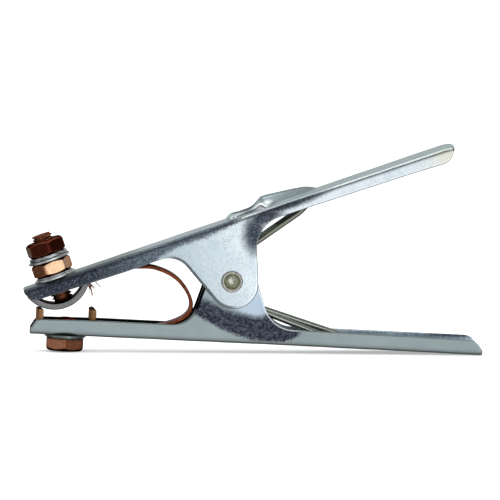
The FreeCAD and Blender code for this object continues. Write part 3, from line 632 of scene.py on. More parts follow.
# undersides up the stud, from the upper web
W_LOCK = UPPER_WEB + FLAT_THICK
W_CLAMP_NUT = W_LOCK + STUD_LOCK_THICK
W_CABLE_FLAT = W_CLAMP_NUT + NUT_HEIGHT
W_CABLE_LOCK = W_CABLE_FLAT + FLAT_THICK
W_CABLE_NUT = W_CABLE_LOCK + CABLE_LOCK_THICK


def on_stud(w):
    return LEANING @ Matrix.Translation(Vector((STUD_U * MM, 0, w * MM)))


def at_bolt(z):
    return Matrix.Translation(Vector((BOLT_X * MM, 0, z * MM)))


def hex_angles(turn):
    """Angles in radians, closer together at the corners, which stand at turn + 60 k."""
    offsets = (0, 0.5, 1.1, 1.8, 2.7, 4, 6, 9, 13, 18, 24, 30, 36, 42, 47, 51, 54,
               56, 57.3, 58.2, 58.9, 59.5)
    return np.radians(np.array([turn + 60 * c + d for c in range(6) for d in offsets]))


def hex_radius(angles, flats, turn):
    """Radius of a hexagon with softened corners."""
    t = (angles - math.radians(turn)) % (math.pi / 3) - math.pi / 6
    flat = (flats / 2) / np.cos(t)
    corner = flats / math.sqrt(3) - 0.165
    k = 0.16                        # softness of the meeting
    return np.minimum(flat, -np.log(np.exp(-flat / k) + np.exp(-corner / k)) * k + 0.02)


def hex_wall(radius, land, height, slope, soft, top=True):
    """Radii and heights up a hexagon chamfered below, and above if `top`.

    land is the radius of the flat end face, soft the rounding of the edges."""
    chamfer = np.clip(radius - land, 0, None) * slope
    back = soft / math.sqrt(1 + slope * slope)
    out = [(land - 0.5, 0.0), (land - 0.12, 0.0), (land + 0.10, 0.02)]
    out += bezier(np.array([radius - back, chamfer - back * slope]),
                  np.array([radius, chamfer]), np.array([radius, chamfer + soft]), 5)
    low = out[-1][1]
    shoulder = height - chamfer
    high = shoulder - soft if top else height - 0.12
    out += [(radius, low + (high - low) * s) for s in (0.33, 0.67)]
    if top:
        out += bezier(np.array([radius, shoulder - soft]), np.array([radius, shoulder]),
                      np.array([radius - back, shoulder + back * slope]), 5)
        out += [(land + 0.10, height - 0.02), (land - 0.12, height), (land - 0.5, height)]
    else:
        out += [(radius, height - 0.12), (radius - 0.12, height)]
    return out


def thread_radius(z, angles):
    """Right-hand thread with a flat crest and a rounded root."""
    p = (z / PITCH - angles / (2 * math.pi)) % 1.0
    k = np.clip((np.abs(p - 0.5) * 2 - 0.14) / 0.74, 0, 1)
    return THREAD_CREST - (THREAD_CREST - THREAD_ROOT) * 0.5 * (k + smooth(k))


def nut(name, turn, matrix):
    angles = hex_angles(turn)
    radius = hex_radius(angles, NUT_FLATS, turn)
    bore_lip = [(NUT_BORE, 0.7), (NUT_BORE + 0.62, 0.06), (NUT_BORE + 0.8, 0.0)]
    profile = [(NUT_BORE, z) for z in np.arange(0.75, NUT_HEIGHT - 0.74, 0.15)[::-1]]
    profile += bore_lip
    profile += hex_wall(radius, NUT_FLATS * 0.452, NUT_HEIGHT, slope=0.60, soft=0.5)
    profile += [(r, NUT_HEIGHT - z) for r, z in bore_lip[::-1]]
    return stack(name, [ring(r, angles, z) for r, z in profile], matrix, 46, True)


def flat_washer(name, radius, thick, matrix, seed):
    thick = thick - 0.02
    profile = round_loop([(WASHER_BORE, 0.01), (radius, 0.01), (radius, thick),
                          (WASHER_BORE, thick)], [0.12, 0.22, 0.45, 0.3], 4)

    def uneven(r, z, a):
        k = 0.02 * math.sin(2 * a + seed) + 0.012 * math.sin(5 * a + seed * 2)
        return r + k * 0.6 * (r > 7), z
    return lathe(name, profile, matrix, 120, 40, uneven)


def tooth_washer(name, radius, thick, matrix, teeth=12):
    """Outside-toothed lock washer, each tooth twisted out of the plane."""
    angles = np.linspace(0, 2 * math.pi, teeth * 24, endpoint=False)
    phase = (angles * teeth / (2 * math.pi)) % 1.0
    on_tooth = smooth((0.5 - np.abs(phase - 0.5) - 0.10) / 0.07)
    outer = radius - 0.35 * (1 - on_tooth)
    twist = (phase - 0.5) * 2 * on_tooth
    radii = [WASHER_BORE, WASHER_BORE + 0.15] + [radius - d for d in (2.2, 1.9, 1.3, 0.6, 0.1, 0)]
    rings = []
    for level, row in ((0.10, radii), (thick - 0.10, radii[::-1])):
        for r in row:
            r_cut = np.minimum(r, outer - (radius - r) * 0.02)
            z = level + twist * smooth((r_cut - (radius - 2.0)) / 1.6) * 0.085
            rings.append(ring(r_cut, angles, np.clip(z, 0.01, thick - 0.01)))
    return stack(name, rings, matrix, 35, True)


def split_washer(name, radius, thick, bore, matrix, gap):
    """Spring washer cut on a slant at `gap` degrees, its ends sprung apart."""
    section = round_loop([(bore, 0.03), (radius, 0.10), (radius, thick - 0.06),
                          (bore, thick - 0.14)], 0.22, 4)
    columns = 151
    verts = []
    for i in range(columns):
        s = i / (columns - 1)
        for r, z in section:
            a = math.radians(gap + 5.5 + s * 349.0) - (z - thick / 2) * 0.075
            sprung = z + 0.03 * (s - 0.5) * 2
            verts.append((r * math.cos(a), r * math.sin(a),
                          min(max(sprung, 0.01), thick - 0.01)))
    return mesh_object(name, verts, tube_faces(columns, len(section)), matrix, 40)


clamp_nut = nut("clamp_nut_body", 9.3, on_stud(W_CLAMP_NUT))
cable_nut = nut("cable_nut_body", 41.0, on_stud(W_CABLE_NUT))
stud_flat = flat_washer("stud_flat_washer_disc", 9.88, FLAT_THICK, on_stud(UPPER_WEB), 0.4)
cable_flat = flat_washer("cable_flat_washer_disc", 9.88, FLAT_THICK,
                         on_stud(W_CABLE_FLAT), 2.1)
lower_flat = flat_washer("lower_flat_washer_disc", 9.63, LOWER_FLAT_THICK,
                         at_bolt(-LOWER_WEB - LOWER_FLAT_THICK), 1.1)
stud_lock = flat_washer("stud_lock_washer_ring", 8.88, STUD_LOCK_THICK, on_stud(W_LOCK), 3.0)
lower_lock = tooth_washer("lower_lock_washer_ring", 8.88, LOWER_LOCK_THICK,
                          at_bolt(-LOWER_WEB - LOWER_FLAT_THICK - LOWER_LOCK_THICK))
cable_lock = split_washer("cable_lock_washer_ring", 9.08, CABLE_LOCK_THICK, 5.3,
                          on_stud(W_CABLE_LOCK), gap=75.0)

# the upper shoe's arc, on which the contact stud stands
SHOE_CENTRE_W, SHOE_RADIUS, SHOE_WALL = 29.2, 16.5, 3.0
SHOE_INSIDE = SHOE_RADIUS - SHOE_WALL


def contact_stud():
    """Threaded stud with a chamfered end, let into the round shoe."""
    top = 48.4
    angles = np.linspace(0, 2 * math.pi, 72, endpoint=False)
    rings = [[(0.0, 0.0, top)]]
    rings += [ring(r, angles, top) for r in (1.6, 3.0, 3.95)]
    for z in np.arange(top - 0.04, 17.1, -0.125):
        rings.append(ring(np.minimum(thread_radius(z, angles), 4.2 + (top - z) * 1.2), angles, z))
    # radius, radius at which the shoe's height is taken, shoe face, lift above it
    for r, at, face, lift in ((4.0, 4.0, SHOE_INSIDE, 0.07), (3.58, 3.6, SHOE_INSIDE, 0.0),
                              (3.58, 3.6, SHOE_RADIUS, 0.25), (3.35, 3.35, SHOE_RADIUS, 0.02),
                              (1.6, 1.6, SHOE_RADIUS, 0.02)):
        height = SHOE_CENTRE_W - np.sqrt(face ** 2 - (at * np.cos(angles)) ** 2) + lift
        rings.append(ring(r, angles, height))
    rings.append([(0.0, 0.0, SHOE_CENTRE_W - SHOE_RADIUS + 0.02)])
    return stack("contact_stud_body", rings, on_stud(0), 60, False)


def lower_bolt():
    """Hexagon head chamfered below, threaded shank, rounded point."""
    flats, head, top, turn, point = 17.0, 5.9, 15.7, 27.8, 1.75
    angles = hex_angles(turn)
    radius = hex_radius(angles, flats, turn)
    profile = [(2.0, 0.0), (5.0, 0.0)]
    profile += hex_wall(radius, flats * 0.442, head, slope=0.64, soft=0.9, top=False)
    profile += [(6.0, head), (5.0, head)]
    for z in np.arange(head + 0.02, top - 0.02, 0.12):
        k = max(0.0, (z - (top - point)) / point)
        limit = THREAD_CREST * math.sqrt(max(0.02, 1 - (k * 0.985) ** 2.2))
        profile.append((np.minimum(thread_radius(z, angles), limit), z))
    rings = [[(0.0, 0.0, 0.0)]] + [ring(r, angles, z) for r, z in profile]
    rings.append([(0.0, 0.0, top)])
    return stack("lower_contact_bolt_body", rings, at_bolt(BOLT_Z), 50, False)


stud = contact_stud()
bolt = lower_bolt()


# ----------------------------------------------------------- contact shoes
def make_upper_shoe():
    """Half round strip, both ends up against the braid, its edges rounded."""
    half, soft = 6.68, 0.62
    end_drop = UPPER_WEB - SHEET - 1.76 - SHOE_CENTRE_W   # strip's ends below its centre

    def end_angles(radius):
        x = math.sqrt(radius * radius - end_drop ** 2)
        return math.atan2(end_drop, -x), math.atan2(end_drop, x)

    section = []                    # y, depth in from the outer face
    for side, level in ((-1, 0), (1, 0), (1, SHOE_WALL), (-1, SHOE_WALL)):
        inward = 1 if level == 0 else -1
        for k in range(6):
            a = math.pi / 2 * k / 5
            across, deep = 1 - math.cos(a), 1 - math.sin(a)
            if side == inward:
                across, deep = deep, across
            section.append((side * (half - soft * across), level + inward * soft * deep))
    along = np.r_[0, 0.004, 0.012, np.linspace(0.02, 0.98, 105), 0.988, 0.996, 1]
    outer_start, outer_end = end_angles(SHOE_RADIUS)
    inner_start, inner_end = end_angles(SHOE_INSIDE)
    verts = []
    for i, t in enumerate(along):
        # the two columns nearest each end are drawn in
        inset = {0: 0.38, 1: 0.14}.get(min(i, len(along) - 1 - i), 0.0)
        a = outer_start + (outer_end - outer_start) * t
        b = inner_start + (inner_end - inner_start) * t
        outer = np.array([SHOE_RADIUS * math.cos(a), SHOE_CENTRE_W + SHOE_RADIUS * math.sin(a)])
        inner = np.array([SHOE_INSIDE * math.cos(b), SHOE_CENTRE_W + SHOE_INSIDE * math.sin(b)])
        for y, depth in section:
            middle = SHOE_WALL / 2
            depth = middle + (depth - middle) * (1 - inset / middle)
            u, w = outer + (inner - outer) * (depth / SHOE_WALL)
            wear = 0.05 * math.sin(a * 9) * math.sin(y * 0.8 + 1) if depth < 0.4 else 0.0
            verts.append((STUD_U + u, y * (1 - inset / half), w + abs(wear)))
    shoe = mesh_object("upper_contact_shoe_strip", verts,
                       tube_faces(len(along), len(section)), LEANING, 40)
    cut(shoe, [cutter_cylinder(3.6, (STUD_U, 0, 10), (STUD_U, 0, 20))], 40)
    return shoe


def extrude_rounded(name, outline, y0, y1, soft, matrix, sharp):
    """Counter-clockwise outline (x, z) pushed along y, with rounded rims."""
    tangent = np.roll(outline, -1, 0) - np.roll(outline, 1, 0)
    tangent /= np.linalg.norm(tangent, axis=1)[:, None]
    outward = np.stack([tangent[:, 1], -tangent[:, 0]], 1)
    lip = [(soft * (1 - math.cos(a)), soft * (1 - math.sin(a)))
           for a in (math.pi / 2 * k / 4 for k in range(5))]
    rows = [(y0 + along, inset) for along, inset in lip]
    rows += [(y0 + (y1 - y0) * s, 0.0) for s in (0.25, 0.5, 0.75)]
    rows += [(y1 - along, inset) for along, inset in lip[::-1]]
    verts = [(x, y, z) for y, inset in rows for x, z in outline - outward * inset]
    return mesh_object(name, verts, tube_faces(len(rows), len(outline)), matrix, sharp)


def make_lower_shoe():
    """Strip folded into two prongs with worn, uneven tops."""
    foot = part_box("lower_contact_shoe")[0][2] / MM
    half, width, prong, base = 13.6, 11.6, 2.6, 2.8
    left_top, right_top = -16.85 - foot, -16.1 - foot   # heights of the prongs
    outline = rounded([             # x, z, corner radius
        (0, 0, 0), (half, 0, 2.2), (half, right_top - 1.1, 0.6),
        (half - 0.55, right_top - 0.25, 0.4), (half - 1.15, right_top + 0.40, 0.25),
        (half - 1.65, right_top - 0.1, 0.3), (half - prong, right_top - 0.02, 0.4),
        (half - prong, base, 0.9), (-half + prong, base, 0.9),
        (-half + prong, left_top - 0.5, 0.5), (-half + 1.3, left_top - 0.05, 0.4),
        (-half, left_top - 0.12, 0.5), (-half, 0, 2.2), (-0.001, 0, 0)], 8)[:-1]
    turned = at_bolt(foot) @ Matrix.Rotation(math.radians(5.0), 4, "Z")
    shoe = extrude_rounded("lower_contact_shoe_fork", outline, -width / 2 + 0.02,
                           width / 2 - 0.02, 0.34, turned, 40)
    cut(shoe, [cutter_cylinder(4.9, (0, 0, -1), (0, 0, base + 1))], 40)
    return shoe


upper_shoe = make_upper_shoe()
lower_shoe = make_lower_shoe()

# ------------------------------------------------------------------- braid
# A flattened tube from the upper jaw's tip, in a bow near the pivot, and back to
# the lower jaw's tip.
BRAID_HALF, BRAID_THICK = 6.35, 1.66
BRAID_ROWS = 88
BRAID_TO_WEB = 0.88                 # middle of the braid from the inside of a web
PLAIT = 1.55                        # length of a plait's repeat along the braid
braid_w = UPPER_WEB - SHEET - BRAID_TO_WEB
braid_z = -LOWER_WEB + SHEET + BRAID_TO_WEB
# distance below braid_w along the upper web
BRAID_UPPER = [(-89.8, 0), (-84.0, 0), (-76.8, 0), (-68.0, 0), (-61.0, 0), (-56.0, 0.5),
               (-50.0, 1.6), (-44.5, 2.75)]
# x, z of the bow
BRAID_BOW = [(-38.6, 4.45), (-33.4, 3.5), (-28.7, 1.7), (-24.8, -0.85), (-21.4, -4.5),
             (-19.1, -8.3), (-18.1, -11.5), (-18.4, -14.7), (-20.0, -17.2), (-22.6, -19.2),
             (-26.2, -20.9), (-31.0, -22.5), (-37.0, -24.0), (-43.0, -25.2)]
BRAID_LOWER = (-49.0, -55.0, -62.0, -75.8, -89.0)       # x along the lower web

knots = [uw(u, braid_w - drop) for u, drop in BRAID_UPPER]
knots += [(x, 0, z) for x, z in BRAID_BOW + [(x, braid_z) for x in BRAID_LOWER]]
braid_line, braid_s = resample(catmull(knots, 10), 0.30)
# keep the line off both webs
line_u = braid_line[:, 0] * COS + braid_line[:, 2] * SIN
line_w = np.minimum(-braid_line[:, 0] * SIN + braid_line[:, 2] * COS, braid_w)
braid_line = uw(line_u, line_w, 0 * line_u).T
braid_line[:, 2] = np.maximum(braid_line[:, 2], braid_z)


def make_braid():
    tangent = np.gradient(braid_line, axis=0)
    tangent /= np.linalg.norm(tangent, axis=1)[:, None]
    normal = np.stack([-tangent[:, 2], 0 * line_u, tangent[:, 0]], 1)

    # one face and one edge of the section (y, height, outward y, outward height);
    # the other half is its opposite
    radius = BRAID_THICK / 2
    flat = BRAID_HALF - radius
    girth = 4 * flat + math.pi * BRAID_THICK
    section = []
    for k in range(BRAID_ROWS // 2):
        d = girth * k / BRAID_ROWS
        if d < 2 * flat:
            section.append((-flat + d, radius, 0.0, 1.0))
        else:
            a = (d - 2 * flat) / radius
            section.append((flat + radius * math.sin(a), radius * math.cos(a),
                            math.sin(a), math.cos(a)))
    section = np.array(section)
    section = np.concatenate([section, -section])

    cell = girth / 18.0             # a plait's repeat round the tube
    around = np.arange(BRAID_ROWS) * girth / BRAID_ROWS
    verts = []
    for i, s in enumerate(braid_s):
        # two sets of strands, crossing on a slant
        rise = np.abs(np.cos((s / PLAIT + around / cell) * math.pi + math.pi / 2)) ** 0.6
        fall = np.abs(np.cos((s / PLAIT - around / cell) * math.pi + math.pi / 2)) ** 0.6
        over = np.where(math.sin(s / PLAIT * math.pi) * np.sin(around / cell * math.pi) > 0,
                        rise, fall)
        relief = -0.20 * (1 - 0.5 * (rise + fall)) - 0.06 * (1 - over)
        height = section[:, 1] + section[:, 3] * relief
        points = braid_line[i][None, :] + normal[i][None, :] * height[:, None]
        points[:, 1] = ((section[:, 0] + section[:, 2] * relief)
                        * (1 + 0.012 * math.sin(s / 2.6 + 0.5) - 0.008))
        verts.append(points)
    ob = mesh_object("copper_braid_strap", np.concatenate(verts),
                     tube_faces(len(braid_s), BRAID_ROWS), None, 180)
    cut(ob, [cutter_cylinder(5.3, uw(STUD_U, UPPER_WEB - 6), uw(STUD_U, UPPER_WEB)),
             cutter_cylinder(5.3, (BOLT_X, 0, -28), (BOLT_X, 0, -23))], 180)
    return ob


def braid_weights(mesh):
    """0 on the lower lever, 1 on the upper, turning along the bow."""
    points = vertex_coords(mesh).astype(float)[:, [0, 2]] / MM
    line = braid_line[::4][:, [0, 2]]
    nearest = np.argmin(((points[:, None] - line[None]) ** 2).sum(2), axis=1)
    s = braid_s[::4][nearest]
    leaves_upper = braid_s[np.argmin(np.abs(line_u + 60.0) + 100 * (braid_line[:, 2] < -6))]
    meets_lower = braid_s[np.argmax((braid_line[:, 2] < -20) & (braid_line[:, 0] < -46))]
    return smooth((meets_lower - s) / (meets_lower - leaves_upper))


braid = make_braid()
set_blend(braid, braid_weights(braid.data))

# ----------------------------------------------------- frayed ends of the braid
rng = np.random.default_rng(11)
THICK_THREAD, THIN_THREAD = 0.10, 0.085     # radii


def add_thread(threads, start, heading, length, bend, radius):
    """A thread that leaves along heading and turns steadily by bend."""
    points = [np.array(start, float)]
    heading = unit(np.array(heading, float))
    for _ in range(4):
        points.append(points[-1] + heading * length / 4)
        heading = unit(heading + np.array(bend) / 4)
    threads.append(wire(catmull(points, 7), radius, 6))


def thread_object(name, threads):
    verts, faces = [], []
    for thread_verts, thread_faces in threads:
        first = len(verts)
        faces += [tuple(i + first for i in face) for face in thread_faces]
        verts += thread_verts
    return mesh_object(name, verts, faces, None, 60)


def add_tuft(threads, count, u, y, lean, length, bend):
    """Threads hanging from the upper web.  u, lean and bend hold (mean, spread)
    pairs, y and length (least, greatest addition)."""
    (bend_x, bend_y), bend_z = bend
    for _ in range(count):
        add_thread(threads, uw(u[0] + rng.normal(0, u[1]), 23.4, y[0] + rng.uniform(0, y[1])),
                   uw(lean[0] + rng.normal(0, lean[1]), -1.0, rng.normal(0, lean[2])),
                   length[0] + rng.uniform(-0.8, length[1]),
                   (rng.normal(*bend_x), rng.normal(*bend_y), bend_z), THICK_THREAD)


threads = []
add_tuft(threads, 9, u=(-63.8, 0.45), y=(-5.6, 2.5), lean=(0.25, 0.12, 0.2),
         length=(7.2, 1.6), bend=(((0.05, 0.12), (0, 0.3)), 0.1))
add_tuft(threads, 7, u=(-62.3, 0.3), y=(-5.8, 1.8), lean=(-0.16, 0.08, 0.15),
         length=(9.0, 1.2), bend=(((0.03, 0.10), (0, 0.2)), 0.05))
for k in range(3):                  # stray threads on the handle side of the tufts
    add_thread(threads, uw(-61.4 + 0.3 * k, 23.4, -5.5 + 0.4 * k), uw(0.3, -1.0),
               6.6 + 0.7 * k, (0.2, -0.1, 0.1), THIN_THREAD)
for _ in range(14):                 # short ends inside the shoe, by the stud
    add_thread(threads, uw(-69.2 + rng.normal(0, 0.9), 23.4, -5.8 + rng.uniform(0, 3)),
               uw(rng.normal(0, 0.4), -1.0), 1.6 + rng.uniform(0, 1.3),
               (rng.normal(0, 0.5), 0, 0.1), THICK_THREAD)
for _ in range(10):                 # cut end at the upper jaw's tip
    add_thread(threads, uw(-89.6 + rng.normal(0, 0.3), 24.3, rng.uniform(-5.6, 5.6)),
               uw(-1.0, -0.5 + rng.normal(0, 0.3)), 1.1 + rng.uniform(0, 0.7),
               (0, rng.normal(0, 0.3), -0.4), THIN_THREAD)
upper_frays = thread_object("copper_braid_frayed_wires", threads)

threads = []
for _ in range(16):                 # cut end at the lower jaw's tip
    add_thread(threads, (-88.9 + rng.normal(0, 0.1), rng.uniform(-5.8, 5.8),
                         braid_z + rng.uniform(-0.4, 0.6)),
               (-1.0, rng.normal(0, 0.25), rng.normal(0.1, 0.25)), 1.0 + rng.uniform(0, 1.2),
               (0, rng.normal(0, 0.4), rng.normal(0.1, 0.3)), THIN_THREAD)
lower_frays = thread_object("copper_braid_lower_wires", threads)


# --------------------------------------------------------------- materials
def linear(tone):
    """Linear colour of an 8-bit sRGB tone."""
    return tuple((v / 255) / 12.92 if v / 255 <= 0.04045 else ((v / 255 + 0.055) / 1.055) ** 2.4
                 for v in tone)


# black of painted shade
SHADE_BLACK = (0.004, 0.004, 0.005)      # linear


class Nodes:
    """Short ways of adding shader nodes.  Masks run from 0 to 1; tones are
    8-bit sRGB triples or sockets."""

    def __init__(self, owner):
        owner.use_nodes = True
        self.owner = owner
        self.tree = owner.node_tree
        self.tree.nodes.clear()

    def put(self, socket, value):
        if isinstance(value, bpy.types.NodeSocket):
            self.tree.links.new(value, socket)
        elif value is not None:
            if socket.type == "RGBA" and len(value) == 3:
                value = (*value, 1.0)
            socket.default_value = value

    def node(self, kind, inputs=None, **settings):
        node = self.tree.nodes.new(kind)
        for key, value in settings.items():
            setattr(node, key, value)
        for key, value in (inputs or {}).items():
            self.put(node.inputs[key], value)
        return node

    def math(self, operation, a, b=None):
        return self.node("ShaderNodeMath", {0: a, 1: b}, operation=operation).outputs[0]

    def add(self, *terms):
        return reduce(lambda a, b: self.math("ADD", a, b), terms)

    def sub(self, a, b):
        return self.math("SUBTRACT", a, b)

    def mul(self, *terms):
        return reduce(lambda a, b: self.math("MULTIPLY", a, b), terms)

    def step(self, value, off, on):
        """Smooth change from 0 at `off` to 1 at `on`, whichever is greater."""
        down = off > on
        return self.node("ShaderNodeMapRange", {
            0: value, 1: min(off, on), 2: max(off, on), 3: 1.0 if down else 0.0,
            4: 0.0 if down else 1.0}, interpolation_type="SMOOTHSTEP").outputs[0]

    def mix(self, mask, a, b, mode="MIX"):
        """Mix of linear colours."""
        return self.node("ShaderNodeMix", {0: mask, 6: a, 7: b},
                         data_type="RGBA", blend_type=mode).outputs[2]

    def tones(self, mask, a, b):
        """Tone a where the mask is 0, b where it is 1."""
        a, b = (t if isinstance(t, bpy.types.NodeSocket) else linear(t) for t in (a, b))
        return self.mix(mask, a, b)

    def paint(self, under, mask, tone, amount=None):
        if amount is not None:
            mask = self.mul(mask, amount)
        return self.tones(mask, under, tone)

    def attribute(self, name, output):
        return self.node("ShaderNodeAttribute", attribute_type="GEOMETRY",
                         attribute_name=name).outputs[output]

    def scaled(self, vector, scale):
        return self.node("ShaderNodeVectorMath", {0: vector, "Scale": scale},
                         operation="SCALE").outputs[0]

    def own_mm(self):
        """Millimetres in the piece's own frame."""
        return self.scaled(self.attribute("own_mm", "Vector"), 1.0)

    def split(self, vector):
        return self.node("ShaderNodeSeparateXYZ", {0: vector}).outputs

    def true_normal(self):
        return self.node("ShaderNodeNewGeometry").outputs["True Normal"]

    def stretch(self, vector, scale, turn=(0, 0, 0)):
        return self.node("ShaderNodeMapping",
                         {0: vector, "Scale": scale, "Rotation": turn}).outputs[0]

    def noise(self, vector, scale, detail=3.0, rough=0.55, warp=0.0):
        return self.node("ShaderNodeTexNoise", {
            "Vector": vector, "Scale": scale, "Detail": detail, "Roughness": rough,
            "Distortion": warp}).outputs[0]

    def strokes(self, vector, scale, turn, off, on):
        """Short brushed strokes: 1 on a stroke."""
        drawn = self.stretch(vector, (scale, scale, scale * 0.28), (0, turn, 0))
        return self.step(self.noise(drawn, scale=1.0, rough=0.6), off, on)

    def ramp(self, factor, stops):
        """Colour ramp through (position, linear colour)."""
        node = self.node("ShaderNodeValToRGB", {0: factor})
        node.color_ramp.interpolation = "LINEAR"
        elements = node.color_ramp.elements
        while len(elements) > 1:
            elements.remove(elements[-1])
        elements[0].position = stops[0][0]
        elements[0].color = (*stops[0][1], 1)
        for position, colour in stops[1:]:
            elements.new(position).color = (*colour, 1)
        return node.outputs[0]

    def curve(self, x, points, low=0, high=1):
        """Piecewise linear function of x; its values lie between low and high."""
        first, last = points[0][0], points[-1][0]
        place = self.node("ShaderNodeMapRange", {0: x, 1: first, 2: last}).outputs[0]
        value = self.ramp(place, [((a - first) / (last - first),
                                   ((b - low) / (high - low),) * 3) for a, b in points])
        return self.node("ShaderNodeMapRange", {0: value, 3: low, 4: high}).outputs[0]

    def oval(self, u, w, centre, radii, tilt, soft, ragged):
        """Soft tilted ellipse: 1 inside, 0 outside, its border moved by `ragged`."""
        du, dw = self.sub(u, centre[0]), self.sub(w, centre[1])
        c, s = math.cos(math.radians(tilt)), math.sin(math.radians(tilt))
        a = self.math("DIVIDE", self.add(self.mul(du, c), self.mul(dw, s)), radii[0])
        b = self.math("DIVIDE", self.sub(self.mul(dw, c), self.mul(du, s)), radii[1])
        distance = self.math("SQRT", self.add(self.mul(a, a), self.mul(b, b)))
        return self.step(self.add(distance, ragged), off=1.0 + soft, on=1.0 - soft)

    def edges(self):
        """0 on open faces, rising on edges within 0.3 mm."""
        bevel = self.node("ShaderNodeBevel", {"Radius": 0.3 * MM}, samples=4)
        geometry = self.node("ShaderNodeNewGeometry")
        dot = self.node("ShaderNodeVectorMath",
                        {0: bevel.outputs[0], 1: geometry.outputs["Normal"]},
                        operation="DOT_PRODUCT")
        return self.step(dot.outputs["Value"], off=0.995, on=0.80)

    def bump(self, height, strength, depth):
        """Bumped normal; depth in mm."""
        return self.node("ShaderNodeBump", {"Strength": strength, "Distance": depth * MM,
                                            "Height": height}).outputs[0]

    def metal(self, colour, rough, normal, metallic=1.0, tint=None):
        shader = self.node("ShaderNodeBsdfPrincipled", {
            "Base Color": colour, "Metallic": metallic, "Roughness": rough, "Normal": normal,
            "Specular Tint": linear(tint) if tint else None})
        self.node("ShaderNodeOutputMaterial", {0: shader.outputs[0]})
        return self.owner


def new_nodes(name):
    return Nodes(bpy.data.materials.new(name))


# --- the levers' zinc: pale plating with dark mottled patches round the jaws
def sheet_grain(n, vec, fineness, grit_scale, sway, ragged):
    """Noises shared by a lever's layers; `jitter` moves the borders, in mm."""
    swaying = n.sub(n.noise(vec, scale=0.42, detail=5, rough=0.68, warp=0.3), 0.5)
    jagged = n.sub(n.noise(vec, scale=1.3, detail=4, rough=0.75), 0.5)
    cells = n.node("ShaderNodeTexVoronoi",
                   {"Vector": vec, "Scale": 0.95 * fineness, "Randomness": 1.0}, feature="F1")
    return SimpleNamespace(
        coarse=n.noise(vec, scale=1.15 * fineness, detail=4, rough=0.65),
        fine=n.noise(vec, scale=3.2 * fineness, detail=2, rough=0.6),
        cells=cells.outputs["Color"],
        scratches=n.noise(n.stretch(vec, (0.05, 1.0, 2.4)), scale=1.6, rough=0.6),
        grit=n.noise(vec, scale=grit_scale, detail=4, rough=0.8),
        jitter=n.add(n.mul(swaying, sway), n.mul(jagged, ragged)))


def dark_mottle(n, vec, grain, stroke_turn, deep, pale, grains, pits, strokes):
    """Dark crystals; grains, pits and strokes are each (tone, amount)."""
    blotches = n.add(n.mul(grain.coarse, 0.5), n.add(n.mul(grain.cells, 0.2),
                                                     n.mul(grain.grit, 0.3)))
    col = n.tones(n.step(blotches, off=0.38, on=0.64), deep, pale)
    col = n.paint(col, n.step(grain.grit, off=0.55, on=0.66), *grains)
    pitted = n.noise(vec, scale=1.2, detail=2, rough=0.6)
    col = n.paint(col, n.step(pitted, off=0.46, on=0.36), *pits)
    return n.paint(col, n.strokes(vec, 2.2, stroke_turn, off=0.42, on=0.62), *strokes)


def join_mottle(n, grain, dark, light, mottle, fringe_tone, fringe_amount):
    """Mottle over the plating, with a gritty fringe along the border."""
    fringe = n.mul(dark, n.sub(1.0, dark))
    col = n.tones(dark, light, mottle)
    gritty = n.mul(n.step(grain.grit, off=0.45, on=0.6), fringe_amount)
    return n.paint(col, n.mul(fringe, gritty), fringe_tone)


def sheet_metal(n, col, grain, dark, rough, dark_rough, scratch, strength):
    rough = n.add(rough, n.add(n.mul(grain.coarse, 0.10), n.mul(dark, dark_rough)))
    height = n.add(n.mul(grain.coarse, 0.6),
                   n.add(n.mul(grain.fine, 0.25), n.mul(grain.scratches, scratch)))
    return n.metal(col, rough, n.bump(height, strength, depth=0.05))


def upper_dark(n, u, w, across, grain):
    """Where the mottle lies: the jaw's cheeks, and a patch under the hood."""
    border = n.curve(u, [           # u, w of its upper border
        (-93, 9.5), (-46, 10.5), (-38, 14.5), (-33, 19.4), (-27, 21.6), (-22, 22.8),
        (-15, 23.6), (-7, 23.3), (2, 24.0), (9, 24.9), (13, 26.0), (17, 28.5), (30, 29.5),
        (60, 30), (118, 30)], low=9, high=30)
    jaw = n.step(n.sub(n.add(w, grain.jitter), border), off=-1.0, on=1.0)
    ovals = [n.oval(u, w, centre, radii, tilt, soft, n.mul(grain.jitter, ragged))
             for centre, radii, tilt, soft, ragged in (
                 ((17.0, 17.6), (5.0, 8.6), -20, 0.55, 0.13),
                 ((24.0, 23.4), (8.5, 3.3), 2, 0.5, 0.14),
                 ((37.0, 25.8), (17.5, 2.3), 1.0, 0.50, 0.14))]
    patch = reduce(lambda a, b: n.math("MAXIMUM", a, b), ovals)
    dark = n.math("MAXIMUM", n.mul(jaw, n.step(across, off=0.30, on=0.60)),
                  n.mul(patch, n.step(across, off=0.55, on=0.8)))
    return n.mul(dark, 0.97, n.step(w, off=27.32, on=27.12)), patch


